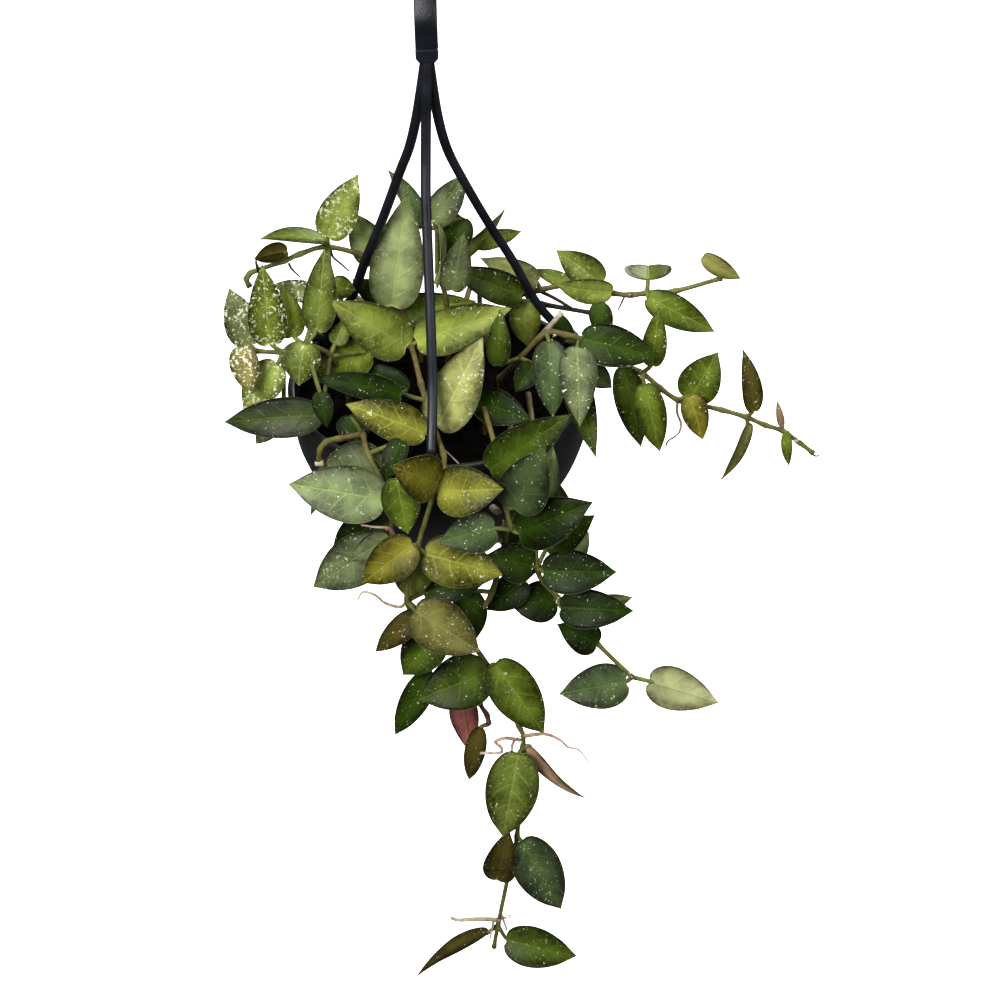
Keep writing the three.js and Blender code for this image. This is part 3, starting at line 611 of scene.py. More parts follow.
def smoothed(points, step):
    """Points of a Catmull-Rom path through the given ones, about `step` apart."""
    ends = [2 * points[0] - points[1], *points, 2 * points[-1] - points[-2]]
    path = [points[0].copy()]
    for a, b, c, d in zip(ends, ends[1:], ends[2:], ends[3:]):
        pieces = max(1, round((c - b).length / step))
        for i in range(1, pieces + 1):
            t = i / pieces
            path.append(0.5 * (2 * b + (c - a) * t + (2 * a - 5 * b + 4 * c - d) * t ** 2
                               + (3 * b - a - 3 * c + d) * t ** 3))
    return path


def blade_outline(t):
    """Half width of a blade, as a share of its widest, at a share t of its length."""
    drawn_out = 0.4 * max(0, (t - 0.75) / 0.25) ** 2
    return max(t, 0) ** 0.48 * max(1 - t, 0) ** 0.92 / BLADE_PEAK * (1 - drawn_out)


def vein_wave(a, t):
    """Runs up by one from each side vein to the next, as side_veins does in the shader."""
    bend = VEIN_BEND * abs(a) + VEIN_CURL * abs(a) ** 3
    return VEIN_PAIRS * (t - bend) + (VEIN_STAGGER if a > 0 else 0)


def blade_point(leaf, a, t, side):
    """A point of a blade: a across from -1 to 1, t along from 0 to 1, side 1 on top, -1 below."""
    half = leaf["width"] / 2 * blade_outline(t)
    across = a * half
    size = abs(a)
    lobe = BLADE_LOBE * half * size ** 2 * exp(-t / 0.1)
    lift = leaf["arch"] * leaf["length"] * 4 * t * (1 - t)
    lift += BLADE_FOLD * half * size ** 1.15 - EDGE_DROOP * half * size ** 5
    ripple = sin(2 * pi * (RIPPLES * t + leaf["phase"] + 0.2 * a))
    lift += leaf["wave"] * half * size ** 3 * ripple
    lift += QUILT_HEIGHT * cos(2 * pi * vein_wave(a, t)) * 4 * size * (1 - size)
    near_rib = exp(-(across / MIDRIB_WIDTH) ** 2)
    lift -= near_rib * (MIDRIB_GROOVE if side > 0 else MIDRIB_KEEL * (1 - t))
    lift += side * BLADE_THICKNESS / 2 * (1 - EDGE_THINNING * size ** 4)
    along = leaf["length"] * t - lobe
    return (leaf["base"] + leaf["along"] * along + leaf["side"] * across + leaf["normal"] * lift,
            (a, t, half))


def border(grid):
    """The points round the edge of a grid, in order."""
    return [*[row[0] for row in grid], *grid[-1][1:],
            *[row[-1] for row in reversed(grid[:-1])], *reversed(grid[0][1:-1])]


def add_blade(shape, leaf):
    """The thin closed blade: a grid on top, one below and a rim between them."""
    columns = []
    middle = (BLADE_COLUMNS - 1) // 2
    for j in range(BLADE_COLUMNS):
        step = (j - middle) / middle
        columns.append(copysign(abs(step) ** 1.6, step))
    grids = []
    for side, (tint, vein, fleck, rough) in ((1, leaf["top"]), (-1, leaf["bottom"])):
        trait = (fleck, rough, 0 if side > 0 else 1)
        grid = []
        for i in range(BLADE_ROWS):
            t = 0.01 + 0.985 * (i / (BLADE_ROWS - 1)) ** 1.1
            row = []
            for a in columns:
                point, spot = blade_point(leaf, a, t, side)
                row.append(shape.add_point(point, (tint, vein, spot, trait)))
            grid.append(row)
        grids.append(grid)
    top, bottom = grids
    for i in range(BLADE_ROWS - 1):
        shape.add_strip(top[i + 1], top[i], closed=False)
        shape.add_strip(bottom[i], bottom[i + 1], closed=False)
    shape.add_strip(border(top), border(bottom))


def add_stalk(shape, node, leaf):
    """The curved stalk from inside the stem to just under the blade's midrib."""
    end = leaf["base"] + leaf["along"] * 2.2 - leaf["normal"] * 0.55
    leave = node + (leaf["base"] - node) * 0.55
    arrive = end - leaf["along"] * min(2.5, (end - node).length * 0.4)
    path = []
    radii = []
    for i in range(STALK_STEPS + 1):
        t = i / STALK_STEPS
        path.append(node * (1 - t) ** 3 + leave * 3 * t * (1 - t) ** 2
                    + arrive * 3 * t ** 2 * (1 - t) + end * t ** 3)
        radii.append(STALK_RADIUS * (1.05 - 0.1 * sin(pi * t) - 0.45 * t ** 6))
    tint = blend_tones(tone(BARKS["plain"][1]), leaf["top"][1], 0.2)
    add_tube(shape, path, radii, STALK_SIDES, [tint] * len(path), 1)


def paint_of(look, shade):
    """Tint, vein colour, flecks and roughness of a finish, a little lighter or darker."""
    blade, vein, fleck, rough = look
    tint, vein_tint = (tuple(c * shade for c in tone(code)) for code in (blade, vein))
    return tint, vein_tint, fleck, rough


def leaf_frame(base, tip, width, face, look, turned_over, draw):
    """All that the blade's form and paint need."""
    along = (tip - base).normalized()
    side = along.cross(face).normalized()
    shade = SHADE_LEAST + SHADE_SPREAD * draw.random()
    shown = paint_of(LOOKS[look], shade)
    hidden = paint_of(LOOKS["green"] if turned_over else UNDERSIDE, shade)
    return {
        "base": base, "length": (tip - base).length, "width": width,
        "along": along, "side": side, "normal": side.cross(along),
        "arch": BLADE_ARCH * (0.85 + 0.3 * draw.random()),
        "wave": RIPPLE_HEIGHT * draw.random(), "phase": draw.random(),
        "top": hidden if turned_over else shown,
        "bottom": shown if turned_over else hidden,
    }


def facing(base, tip, turn):
    """Which way a blade faces: towards the viewer, then turned about its own midrib."""
    along = (tip - base).normalized()
    to_viewer = (EYE - (base + tip) / 2).normalized()
    side = along.cross(to_viewer).normalized()
    return Quaternion(along, radians(turn)) @ side.cross(along)


def add_stem(shape, path, nodes, bark):
    """A stem along its path, swollen at its nodes and thinner and greener towards its tip."""
    old, young = BARKS[bark]
    radii = []
    tints = []
    for i, point in enumerate(path):
        share = i / (len(path) - 1)
        near = min((point - node).length for node in nodes)
        swelling = NODE_SWELLING * exp(-(near / NODE_REACH) ** 2)
        radii.append(STEM_RADIUS + (STEM_TIP_RADIUS - STEM_RADIUS) * share + swelling)
        tints.append(blend_tones(tone(old), tone(young), share))
    add_tube(shape, path, radii, STEM_SIDES, tints, 1)


def add_whisker(shape, bark, foot_radius, tip_radius, places):
    """An air root or thread that thins and pales from its foot to its tip."""
    path = smoothed([place(spot) for spot in places], WHISKER_STEP)
    foot, tip = (tone(code) for code in BARKS[bark])
    shares = [i / (len(path) - 1) for i in range(len(path))]
    radii = [foot_radius + (tip_radius - foot_radius) * share for share in shares]
    tints = [blend_tones(foot, tip, share) for share in shares]
    add_tube(shape, path, radii, STALK_SIDES, tints, 1)


def add_scales(shape, spot, draw):
    """Pale papery scales of an old node, each a short flake that sticks out at random."""
    centre = place(spot)
    for _ in range(SCALES_PER_NODE):
        start = centre + Vector([SCALE_SPREAD * (draw.random() - 0.5) for _ in range(3)])
        lean = Vector([draw.random() - 0.5 for _ in range(3)]).normalized() * SCALE_LENGTH
        tint = tone(draw.choice(SCALE_TINTS))
        path = [start, start + lean * 0.5, start + lean]
        add_tube(shape, path, SCALE_RADII, 5, [tint] * 3, 1)


def root_path(root, route):
    """Path of a stem that starts upright in its hole in the mix."""
    x, front = root
    foot = Vector((x, -front, MIX_LEVEL - ROOT_DEPTH))
    collar = Vector((x, -front, MIX_LEVEL + MIX_MOUND + STEM_COLLAR))
    return [foot, *smoothed([collar, *route], STEM_STEP)]


def placed_vine(vine, materials):
    """A vine laid out by its rows."""
    draw = random.Random(vine["name"])
    shape = Shape()
    routes = [[place(spot) for spot in places] for _, places in vine["stem"]]
    nodes = [node for route in routes for node in route]
    for order, (route, (words, _)) in enumerate(zip(routes, vine["stem"])):
        path = smoothed(route, STEM_STEP) if order else root_path(vine["root"], route)
        add_stem(shape, path, nodes, *words)
    for (bark, *radii), places in vine["whisker"]:
        add_whisker(shape, bark, *map(float, radii), places)
    for _, places in vine["scales"]:
        for spot in places:
            add_scales(shape, spot, draw)
    for (look, *sizes), places in vine["leaf"]:
        width, turn = map(float, sizes if len(sizes) > 1 else (*sizes, 0))
        base, tip = map(place, places)
        leaf = leaf_frame(base, tip, width, facing(base, tip, turn), look, turn > 100, draw)
        add_stalk(shape, min(nodes, key=lambda node: (node - base).length), leaf)
        add_blade(shape, leaf)
    finish_vine(shape, vine["name"], materials)


def numbers_from(seed):
    """Small repeatable differences between leaves: each next number lies between 0 and 1."""
    state = seed * SEED_STEP
    while True:
        state = (state * NUMBER_FACTOR) % NUMBER_RANGE
        yield state / NUMBER_RANGE


def trailing_vine(materials, name, azimuth, reach, hang, swing, seed):
    """A vine laid by rule: up from the mix, over the rim, then hanging with paired leaves."""
    numbers = numbers_from(seed)
    draw = random.Random(name)
    foot = around(azimuth, TRAIL_FOOT, 0)
    count = round(hang / TRAIL_NODE_STEP)
    nodes = []
    for i in range(1, count + 1):
        out = reach + 3 * next(numbers)
        nodes.append(around(azimuth + swing * i / count, out, -hang * i / count))
    over = 0.4 * TRAIL_EDGE[0] + 0.6 * reach
    route = [around(azimuth, *TRAIL_CREST), around(azimuth, over, TRAIL_EDGE[1]), *nodes]
    shape = Shape()
    add_stem(shape, root_path((foot.x, -foot.y), route), nodes, "plain")
    for order, node in enumerate(nodes):
        for hand in (-1, 1):
            length = TRAIL_LEAF_LENGTH * (0.88 + 0.24 * next(numbers))
            width = TRAIL_LEAF_WIDTH * (0.88 + 0.24 * next(numbers))
            drop = radians(TRAIL_DROPS[order % 2] + TRAIL_DROP_SPREAD * next(numbers))
            heading = around(azimuth + 90 * hand, cos(drop), -sin(drop))
            heading = (heading + around(azimuth, 0.12, 0)).normalized()
            base = node + heading * TRAIL_LEAF_STALK + around(azimuth, 2, 0)
            face = around(azimuth, 0.9, 0.35)
            look = draw.choice(TRAIL_LOOKS)
            leaf = leaf_frame(base, base + heading * length, width, face, look, False, draw)
            add_stalk(shape, node, leaf)
            add_blade(shape, leaf)
    finish_vine(shape, name, materials)


def finish_piece(piece, node):
    """Rides the piece on the part's one body and lets it stand for its CAD node."""
    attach(piece, "root")
    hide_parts(node)


def finish_vine(shape, name, materials):
    finish_piece(shape.piece(name + "_foliage", materials), name)


class Wire:
    """An output of a node. Arithmetic with it adds the nodes that work out the result."""

    def __init__(self, graph, socket):
        self.graph = graph
        self.socket = socket

    def __add__(self, other):
        return self.graph.math("ADD", self, other)

    def __sub__(self, other):
        return self.graph.math("SUBTRACT", self, other)

    def __rsub__(self, other):
        return self.graph.math("SUBTRACT", other, self)

    def __mul__(self, other):
        return self.graph.math("MULTIPLY", self, other)

    def ramp(self, low, high, start=0.0, end=1.0):
        """Goes smoothly from start to end while this goes from low to high."""
        limits = {"From Min": low, "From Max": high, "To Min": start, "To Max": end}
        return self.graph.add("ShaderNodeMapRange", {"Value": self, **limits},
                              interpolation_type="SMOOTHSTEP")["Result"]


class Graph:
    """A node tree with short calls to add nodes and join them."""

    def __init__(self, tree):
        self.tree = tree

    def feed(self, socket, value):
        if isinstance(value, Wire):
            self.tree.links.new(value.socket, socket)
        else:
            socket.default_value = value

    def add(self, kind, inputs=None, **settings):
        """Adds a node and gives its outputs by name. Inputs go by name or by order."""
        node = self.tree.nodes.new(kind)
        for name, value in settings.items():
            setattr(node, name, value)
        for key, value in (inputs or {}).items():
            self.feed(node.inputs[key], value)
        return {socket.name: Wire(self, socket) for socket in node.outputs if socket.enabled}

    def math(self, operation, *values):
        inputs = dict(enumerate(values))
        return self.add("ShaderNodeMath", inputs, operation=operation)["Value"]

    def vector_math(self, operation, *values):
        inputs = dict(enumerate(values))
        return self.add("ShaderNodeVectorMath", inputs, operation=operation)["Vector"]

    def mix(self, share, first, second):
        """A colour between two others. A colour is an output or a hex code."""
        first, second = ((*tone(colour), 1) if isinstance(colour, str) else colour
                         for colour in (first, second))
        return self.add("ShaderNodeMix", {0: share, 6: first, 7: second},
                        data_type="RGBA")["Result"]

    def noise(self, spot, scale, detail=2.0, roughness=0.5):
        return self.add("ShaderNodeTexNoise", {"Vector": spot, "Scale": scale, "Detail": detail,
                                               "Roughness": roughness})["Fac"]


def new_group(name, kind, inputs, outputs):
    """A node group with named inputs, which may have a value, and named outputs. Gives its
    graph, what comes in by name, and where its results go."""
    tree = bpy.data.node_groups.new(name, kind)
    for label, socket_kind, *value in inputs:
        socket = tree.interface.new_socket(label, in_out="INPUT",
                                           socket_type="NodeSocket" + socket_kind)
        if value:
            socket.default_value = value[0]
    for label, socket_kind in outputs:
        tree.interface.new_socket(label, in_out="OUTPUT", socket_type="NodeSocket" + socket_kind)
    graph = Graph(tree)
    return graph, graph.add("NodeGroupInput"), tree.nodes.new("NodeGroupOutput").inputs


def mottle_effect():
    """Soft uneven patches, for colour and roughness, and a fine height for bump."""
    graph, start, end = new_group(
        "mottle", "ShaderNodeTree",
        [("Vector", "Vector"), ("Patch Scale", "Float", 90.0), ("Grain Scale", "Float", 1400.0)],
        [("Patches", "Float"), ("Grain", "Float")])
    graph.feed(end["Patches"], graph.noise(start["Vector"], start["Patch Scale"], 3.0))
    graph.feed(end["Grain"], graph.noise(start["Vector"], start["Grain Scale"], 4.0, 0.6))
    return graph.tree


def scattered_dots(graph, spot, scale, share, small, large):
    """Mask of dots, one in some cells of a pattern of this scale; the share says in how many."""
    cells = graph.add("ShaderNodeTexVoronoi", {"Vector": spot, "Scale": scale})
    chance = graph.add("ShaderNodeSeparateColor", {"Color": cells["Color"]})
    wanted = graph.math("GREATER_THAN", chance["Red"], 1.0 - share)
    reach = chance["Green"].ramp(0.2, 1.0, small, large)
    return cells["Distance"].ramp(reach * 0.7, reach, 1.0, 0.0) * wanted


def fleck_effect():
    """Crisp flakes, splashes and fine dots, gathered in loose drifts. Amount runs from 0 to 1."""
    graph, start, end = new_group("flecks", "ShaderNodeTree",
                                  [("Vector", "Vector"), ("Amount", "Float", 0.5)],
                                  [("Mask", "Float")])
    noise = graph.add("ShaderNodeTexNoise", {"Vector": start["Vector"], "Scale": 700.0})
    centred = graph.vector_math("SUBTRACT", noise["Color"], (0.5, 0.5, 0.5))
    torn = graph.vector_math("MULTIPLY", centred, (TEAR_REACH, TEAR_REACH, TEAR_REACH))
    spot = graph.vector_math("ADD", start["Vector"], torn)
    drift = graph.noise(start["Vector"], 110.0, 1.0).ramp(0.3, 0.7)
    limit = 0.82 - (start["Amount"] * 0.2 + drift * 0.11)
    mask = (graph.noise(spot, 620.0, 3.0, 0.6) - limit).ramp(0.0, 0.02)
    plenty = (start["Amount"] + drift) * 0.16
    for scale, weight, small, large in DOT_SIZES:
        dots = scattered_dots(graph, spot, scale, plenty * weight, small, large)
        mask = graph.math("MAXIMUM", mask, dots)
    graph.feed(end["Mask"], mask)
    return graph.tree


def new_material(name):
    """An empty node material, its graph, its shader's inputs and its object coordinates."""
    material = bpy.data.materials.new(name)
    material.use_nodes = True
    graph = Graph(material.node_tree)
    shader = material.node_tree.nodes["Principled BSDF"].inputs
    return material, graph, shader, graph.add("ShaderNodeTexCoord")["Object"]


def placed_effect(graph, tree, inputs):
    """The outputs of an effect. Its tree is set first, because the inputs are the tree's own."""
    return graph.add("ShaderNodeGroup", inputs, node_tree=tree)


def bump(graph, shader, height, distance):
    bumped = graph.add("ShaderNodeBump", {"Height": height, "Distance": distance})
    graph.feed(shader["Normal"], bumped["Normal"])


def painted(graph, name, kind="Color"):
    return graph.add("ShaderNodeAttribute", attribute_name=name)[kind]


def painted_parts(graph, name):
    """The three numbers of a painted vector, as X, Y and Z."""
    return graph.add("ShaderNodeSeparateXYZ", {"Vector": painted(graph, name, "Vector")})


def leaf_material(mottle, flecks):
    """Waxy leaf: paler midrib and side veins, a thin dark margin and cream flecks. Its pale edge
    line is a painted highlight, and its darkening towards margin and tip is partly its own dusky
    tone and partly painted shade.
    """
    material, graph, shader, spot = new_material("waxy leaf")
    blade = painted_parts(graph, "blade")
    trait = painted_parts(graph, "trait")
    soft = placed_effect(graph, mottle, {"Vector": spot})
    patches = soft["Patches"]
    size = graph.math("ABSOLUTE", blade["X"])
    across = size * blade["Z"]
    midrib = across.ramp(0.15, 0.85 - blade["Y"] * 0.5, 1.0, 0.0)
    side = side_veins(graph, blade, size, patches)
    near_rib = across.ramp(0.0, 6.5, 0.9, 0.0) + blade["Y"].ramp(0.05, 0.6, 0.35, 0.0)
    # Darker towards the margin and the tip: partly the blade's own dusky tone, partly painted
    # shade standing in for the shading across its fold and curve.
    far = graph.math("MAXIMUM", size.ramp(0.3, 1.0), blade["Y"].ramp(0.6, 1.0))
    shade = patches.ramp(0.3, 0.7, 0.68, 1.3) * far.ramp(0.0, 1.0, 1.3, 0.6)
    net = graph.add("ShaderNodeTexVoronoi", {"Vector": spot, "Scale": 280.0},
                    feature="DISTANCE_TO_EDGE")["Distance"]
    mask = placed_effect(graph, flecks, {"Vector": spot, "Amount": trait["X"]})["Mask"]
    mask = mask * (1.0 - trait["Z"]) * trait["X"].ramp(0.0, 0.1)
    vein = painted(graph, "vein")
    colour = graph.vector_math("MULTIPLY", painted(graph, "tint"), shade)
    colour = graph.mix(far * patches.ramp(0.35, 0.65, 0.9, 0.25), colour,
                       graph.vector_math("MULTIPLY", colour, DUSK))
    # Layers over the blade: paler veins, the dark margin, the pale edge line, which is a painted
    # highlight, and the cream flecks.
    for share, layer in ((near_rib * patches.ramp(0.3, 0.7, 0.2, 0.75), vein),
                         (net.ramp(0.0, 0.16, 0.18, 0.0), vein),
                         (side * 0.5, vein), (midrib * 0.65, vein),
                         (size.ramp(0.84, 0.96, 0.0, 0.35), MARGIN_TINT),
                         (size.ramp(0.965, 0.99, 0.0, 0.28), EDGE_HIGHLIGHT_TINT),
                         (mask * 0.9, FLECK_TINT)):
        colour = graph.mix(share, colour, layer)
    graph.feed(shader["Base Color"], colour)
    rough = trait["Y"] + soft["Grain"].ramp(0.3, 0.7, -0.05, 0.07) + mask * 0.12
    graph.feed(shader["Roughness"], rough)
    bump(graph, shader, soft["Grain"] * 0.25 - (midrib * 0.6 + side * 0.4), 0.0003)
    shader["Specular IOR Level"].default_value = 0.12
    shader["Coat Weight"].default_value = 0.02
    shader["Coat Roughness"].default_value = 0.3
    return material


def side_veins(graph, blade, size, patches):
    """Mask of the side veins, which leave the midrib in turn and curve towards the tip."""
    bend = size * VEIN_BEND + graph.math("POWER", size, 3.0) * VEIN_CURL
    one_side = graph.math("GREATER_THAN", blade["X"], 0.0)
    wave = (blade["Y"] - bend) * VEIN_PAIRS + one_side * VEIN_STAGGER + patches * 0.45
    line = graph.math("PINGPONG", wave, 0.5).ramp(0.0, 0.1, 1.0, 0.0)
    return line * size.ramp(0.3, 0.85, 1.0, 0.0)


def plain_material(name, mottle):
    """A material of the surfaces table."""
    surface = SURFACES[name]
    material, graph, shader, spot = new_material(name)
    patch, grain = surface["scales"]
    soft = placed_effect(graph, mottle,
                         {"Vector": spot, "Patch Scale": patch, "Grain Scale": grain})
    first, second, third = surface["tones"]
    blend = soft["Patches"].ramp(*surface["blend"])
    colour = graph.mix(blend, first or painted(graph, "tint"), second)
    marks = graph.noise(spot, *surface["scuffs"]) if "scuffs" in surface else soft["Grain"]
    colour = graph.mix(marks.ramp(*surface["specks"]), colour, third)
    graph.feed(shader["Base Color"], colour)
    source, least, most = surface["rough"]
    graph.feed(shader["Roughness"], soft[source].ramp(0.3, 0.7, least, most))
    if "specular" in surface:
        shader["Specular IOR Level"].default_value = surface["specular"]
    bump(graph, shader, soft["Grain"], surface["relief"])
    return material


def floor_material():
    material, graph, shader, spot = new_material("pale floor")
    share = graph.noise(spot, 0.6, 1.0).ramp(0.3, 0.7)
    colour = graph.mix(share, (0.93, 0.93, 0.93, 1), (0.96, 0.96, 0.96, 1))
    graph.feed(shader["Base Color"], colour)
    shader["Roughness"].default_value = 0.9
    shader["Emission Color"].default_value = (1, 1, 1, 1)
    shader["Emission Strength"].default_value = 1.0
    return material


def add_lathe(shape, profile, steps=LATHE_STEPS):
    """Turns a closed profile of (radius, height), or one with both ends on the axis."""
    rings = []
    for radius, height in profile:
        turns = [2 * pi * i / steps for i in range(steps if radius > 1e-6 else 1)]
        rings.append([shape.add_point(Vector((radius * cos(turn), radius * sin(turn),
                                              height)), ()) for turn in turns])
    for first, second in zip(rings, rings[1:]):
        for i in range(steps):
            k = (i + 1) % steps
            corners = (first[i % len(first)], first[k % len(first)],
                       second[k % len(second)], second[i % len(second)])
            shape.add_face(tuple(dict.fromkeys(corners)))


def rounded(points, radius, steps=5):
    """An open outline whose inner corners are rounded."""
    outline = [points[0]]
    for before, corner, after in zip(points, points[1:], points[2:]):
        here = Vector(corner)
        into = Vector(before) - here
        out = Vector(after) - here
        reach = min(radius, into.length * 0.45, out.length * 0.45)
        start = here + into.normalized() * reach
        end = here + out.normalized() * reach
        for i in range(steps + 1):
            t = i / steps
            outline.append(tuple(start * (1 - t) ** 2 + here * 2 * t * (1 - t) + end * t ** 2))
    return [*outline, points[-1]]


def wall_profile(inset):
    """The pot's wall from the centre of its floor to its shoulder."""
    wall = [(radius - inset, height) for radius, height in reversed(BELLY)]
    return [(0, -POT_DEPTH + inset), (BASE_RADIUS - inset, -POT_DEPTH + inset), *wall]


def pot_piece(material):
    """The pot, with a smooth wall, a rounded bead under its rim and drilled drain holes."""
    under_lip = -LIP_DEPTH - 1
    inside = RIM_RADIUS - WALL
    rim = [(RIM_RADIUS - 0.8, under_lip), (LIP_RADIUS, -LIP_DEPTH + 0.4), (LIP_RADIUS, -0.8),
           (LIP_RADIUS - 0.8, 0), (inside - 0.5, 0), (inside - 0.8, under_lip)]
    shape = Shape()
    add_lathe(shape, rounded([*wall_profile(0), *rim, *reversed(wall_profile(WALL))], 5))
    pot = shape.piece("pot_shell", [material])
    cutters = Shape()
    for i in range(DRAIN_COUNT):
        turn = 2 * pi * i / DRAIN_COUNT
        x, y = DRAIN_CIRCLE * cos(turn), DRAIN_CIRCLE * sin(turn)
        path = [Vector((x, y, -POT_DEPTH - 2)), Vector((x, y, -POT_DEPTH + WALL + 2))]
        add_tube(cutters, path, [DRAIN_RADIUS] * 2, 28, [(0, 0, 0)] * 2)
    drill = cutters.piece("drill", [material])
    cut = pot.modifiers.new("drains", "BOOLEAN")
    cut.object = drill
    cut.operation = "DIFFERENCE"
    cut.solver = "EXACT"
    bake_modifiers(pot)
    bpy.data.objects.remove(drill)
    finish_piece(pot, "pot")


def bake_modifiers(piece):
    """Makes the evaluated shape the piece's own mesh and clears its modifiers."""
    evaluated = piece.evaluated_get(bpy.context.evaluated_depsgraph_get())
    mesh = bpy.data.meshes.new_from_object(evaluated)
    piece.modifiers.clear()
    piece.data = mesh


def crumb_tree(material):
    """Geometry nodes that scatter crumbs of several sizes over the faces that look up."""
    graph, start, end = new_group("crumbs over mix", "GeometryNodeTree",
                                  [("Geometry", "Geometry"), ("Crumb Size", "Float"),
                                   ("Density", "Float"), ("Seed", "Int")],
                                  [("Geometry", "Geometry")])
    normal = graph.add("GeometryNodeInputNormal")["Normal"]
    upward = graph.add("ShaderNodeSeparateXYZ", {"Vector": normal})["Z"]
    level = graph.add("FunctionNodeCompare", {"A": upward, "B": CRUMB_LEAST_UPWARD},
                      data_type="FLOAT", operation="GREATER_THAN")["Result"]
    spots = graph.add("GeometryNodeDistributePointsOnFaces",
                      {"Mesh": start["Geometry"], "Selection": level,
                       "Density": start["Density"], "Seed": start["Seed"]})["Points"]
    crumb = graph.add("GeometryNodeMeshIcoSphere",
                      {"Radius": start["Crumb Size"], "Subdivisions": 1})["Mesh"]
    rough = graph.add("ShaderNodeTexNoise", {"Scale": 600.0})["Color"]
    reach = CRUMB_ROUGHNESS * CRUMB_SIZE * MILLIMETRE
    shift = graph.add("ShaderNodeVectorMath", {"Vector": rough, "Scale": reach},
                      operation="SCALE")["Vector"]
    lump = graph.add("GeometryNodeSetPosition", {"Geometry": crumb, "Offset": shift})
    turn, size = (graph.add("FunctionNodeRandomValue",
                            {"Min": least, "Max": most, "Seed": start["Seed"]},
                            data_type="FLOAT_VECTOR")["Value"]
                  for least, most in (CRUMB_TURNS, CRUMB_SIZES))
    copies = graph.add("GeometryNodeInstanceOnPoints",
                       {"Points": spots, "Instance": lump["Geometry"],
                        "Rotation": turn, "Scale": size})["Instances"]
    real = graph.add("GeometryNodeRealizeInstances", {"Geometry": copies})["Geometry"]
    whole = graph.tree.nodes.new("GeometryNodeJoinGeometry")
    for shape in (start["Geometry"], real):
        graph.feed(whole.inputs["Geometry"], shape)
    joined = Wire(graph, whole.outputs["Geometry"])
    coloured = graph.add("GeometryNodeSetMaterial", {"Geometry": joined, "Material": material})
    graph.feed(end["Geometry"], coloured["Geometry"])
    return graph.tree


def set_inputs(modifier, values):
    """Gives a geometry nodes modifier its sizes, by the identifiers of its named sockets."""
    for socket in modifier.node_group.interface.items_tree:
        if socket.name in values:
            modifier[socket.identifier] = values[socket.name]


def mix_piece(material):
    """The potting mix: a closed mound, with crumbs over its top."""
    inset = WALL + GAP
    wall = [(radius - inset - 0.2, height) for radius, height in BELLY if height >= MIX_FOOT]
    top = [(50, MIX_LEVEL + MIX_MOUND * 0.6), (25, MIX_LEVEL + MIX_MOUND),
           (0, MIX_LEVEL + MIX_MOUND * 0.8)]
    profile = [(0, MIX_FOOT), (MIX_FOOT_RADIUS - inset, MIX_FOOT), *reversed(wall), *top]
    shape = Shape()
    add_lathe(shape, rounded(profile, 4), 72)
    mix = shape.piece("mix_bed", [material])
    modifier = mix.modifiers.new("crumbs", "NODES")
    modifier.node_group = crumb_tree(material)
    set_inputs(modifier, {"Crumb Size": CRUMB_SIZE * MILLIMETRE, "Seed": CRUMB_SEED,
                          "Density": CRUMBS_PER_SQUARE_METRE})
    bake_modifiers(mix)
    mix.data.polygons.foreach_set("use_smooth", [True] * len(mix.data.polygons))
    finish_piece(mix, "potting_mix")


def rounded_section(half_a, half_b, corner, steps=4):
    """A rectangle with round corners, anticlockwise."""
    section = []
    for turn, (a, b) in enumerate(((1, 1), (-1, 1), (-1, -1), (1, -1))):
        for i in range(steps + 1):
            angle = pi / 2 * (turn + i / steps)
            section.append((a * (half_a - corner) + corner * cos(angle),
                            b * (half_b - corner) + corner * sin(angle)))
    return section


def hook_path():
    """Centre line of the strap: up from the hub, back, then curled forward over the rail."""
    centre = HOOK_ABOVE_RIM - HOOK_INNER_RADIUS
    middle = HOOK_INNER_RADIUS + STRAP_THICKNESS / 2
    route = [(0, HUB_TOP - 4), (0, HUB_TOP + 12), (middle * 0.55, centre - middle)]
    for degrees in range(-20, 206, 15):
        turn = radians(degrees)
        route.append((middle * cos(turn), centre + middle * sin(turn)))
    return smoothed([Vector((0, back, height)) for back, height in route], 2)


def add_block(shape, outline, depth, turn_about_z):
    """A flat outline of (across, height) given a depth, then turned about the pot's axis."""
    turn = Matrix.Rotation(radians(turn_about_z), 3, "Z")
    front, back = ([shape.add_point(turn @ Vector((across, y, height)), ())
                    for across, height in outline] for y in (-depth / 2, depth / 2))
    shape.add_rings([back, front])


def clip_outline():
    """Section of the clip that straddles the rim, with its barb under the bead."""
    inner = RIM_RADIUS - WALL - 0.5 - CLIP_PLAY
    outer = LIP_RADIUS + 0.4
    barb = outer - CLIP_BARB
    return [(inner - CLIP_WALL, CLIP_TOP), (inner - CLIP_WALL, -CLIP_LEG), (inner, -CLIP_LEG),
            (inner, GAP), (outer, GAP), (outer, -LIP_DEPTH - 0.6), (barb, -LIP_DEPTH - 1.2),
            (outer, -CLIP_LEG), (outer + CLIP_WALL, -CLIP_LEG), (outer + CLIP_WALL, CLIP_TOP)]


def bevelled(piece, width):
    """Rounds a piece's sharp edges."""
    bevel = piece.modifiers.new("bevel", "BEVEL")
    bevel.width = width * MILLIMETRE
    bevel.segments = 3
    bevel.limit_method = "ANGLE"
    bevel.angle_limit = radians(35)
    bake_modifiers(piece)


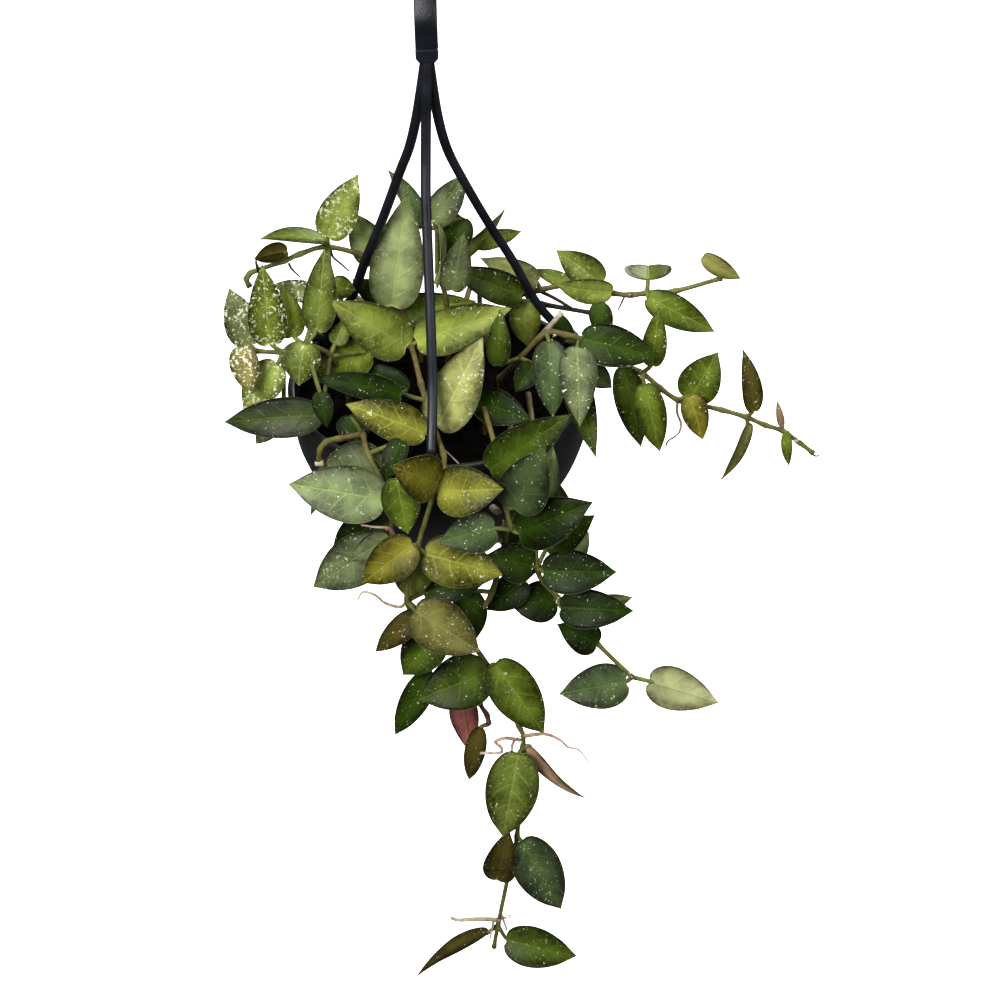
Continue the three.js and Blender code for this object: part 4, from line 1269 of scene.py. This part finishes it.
def hanger_pieces(material):
    """Hub and clips in one piece, and the strap with its hook and the strands in another."""
    half = STRAP_WIDTH / 2
    foot = HUB_BOTTOM + HUB_CHAMFER
    tip = half - HUB_TAPER
    hub = Shape()
    add_block(hub, [(-half, HUB_TOP), (-half, foot), (-tip, HUB_BOTTOM), (tip, HUB_BOTTOM),
                    (half, foot), (half, HUB_TOP)], HUB_DEPTH, 0)
    bars = Shape()
    across = Vector((1, 0, 0))
    runs = [(hook_path(), rounded_section(half, STRAP_THICKNESS / 2, 0.9), across)]
    round_section = rounded_section(STRAND_RADIUS, STRAND_RADIUS * 0.9, 1.8)
    for azimuth in STRAND_AZIMUTHS:
        add_block(hub, clip_outline(), CLIP_WIDTH, azimuth - 90)
        route = [around(azimuth, radius, height) + across * lean
                 for radius, height, lean in STRAND_ROUTE]
        runs.append((smoothed(route, 3), round_section, around(azimuth + 90, 1, 0)))
    for path, section, aside in runs:
        add_bar(bars, path, aside, [section] * len(path), [()] * len(path))
    blocks = hub.piece("hanger_hub_and_clips", [material], smooth=False)
    bevelled(blocks, HANGER_BEVEL)
    blocks.data.polygons.foreach_set("use_smooth", [False] * len(blocks.data.polygons))
    strands = bars.piece("hanger_strap_and_strands", [material])
    for piece in (blocks, strands):
        finish_piece(piece, "hanger")


def floor():
    """A wide pale floor, well below the longest vine."""
    shape = Shape()
    corners = ((-1, -1), (1, -1), (1, 1), (-1, 1))
    shape.add_face(tuple(shape.add_point((x * FLOOR_REACH, y * FLOOR_REACH, FLOOR_LEVEL), ())
                         for x, y in corners))
    ground = shape.piece("floor", [floor_material()])
    ground.visible_diffuse = False
    ground.visible_glossy = False


def soft_light(name, position, size, power, colour):
    """A large square lamp that looks at the middle of the plant."""
    data = bpy.data.lights.new(name, "AREA")
    data.size = size
    data.energy = power
    data.color = colour
    lamp = new_object(name, data)
    lamp.location = position
    lamp.rotation_euler = (Vector(LAMP_AIM) - lamp.location).to_track_quat("-Z", "Y").to_euler()


def lights():
    """A white studio that looks white and lights dimly, and large soft lamps round the plant."""
    world = bpy.data.worlds.new("studio")
    world.use_nodes = True
    graph = Graph(world.node_tree)
    seen = graph.add("ShaderNodeLightPath")["Is Camera Ray"]
    sky = world.node_tree.nodes["Background"].inputs
    graph.feed(sky["Strength"], seen.ramp(0.0, 1.0, WORLD_LIGHT, 1.0))
    sky["Color"].default_value = (1, 1, 1, 1)
    bpy.context.scene.world = world
    for lamp in LAMPS:
        soft_light(*lamp)
    bpy.context.scene.view_settings.view_transform = "Standard"
    bpy.context.scene.view_settings.look = "Medium High Contrast"


def camera():
    """The camera stands where the photograph was taken from."""
    data = bpy.data.cameras.new("camera")
    data.sensor_width = 36
    data.lens = SIGHT_LENS
    data.clip_end = 40
    eye = new_object("camera", data)
    turn = Matrix((RIGHT, UP, -FORWARD)).transposed().to_4x4()
    eye.matrix_world = Matrix.Translation(metres(EYE)) @ turn
    bpy.context.scene.camera = eye


camera()
lights()
floor()
mottle = mottle_effect()
foliage = [leaf_material(mottle, fleck_effect()), plain_material("stem skin", mottle)]
pot_piece(plain_material("charcoal plastic", mottle))
mix_piece(plain_material("potting mix", mottle))
hanger_pieces(plain_material("blue-black plastic", mottle))
for vine in read_layout(LAYOUT):
    placed_vine(vine, foliage)
for row in TRAILING:
    trailing_vine(foliage, *row)
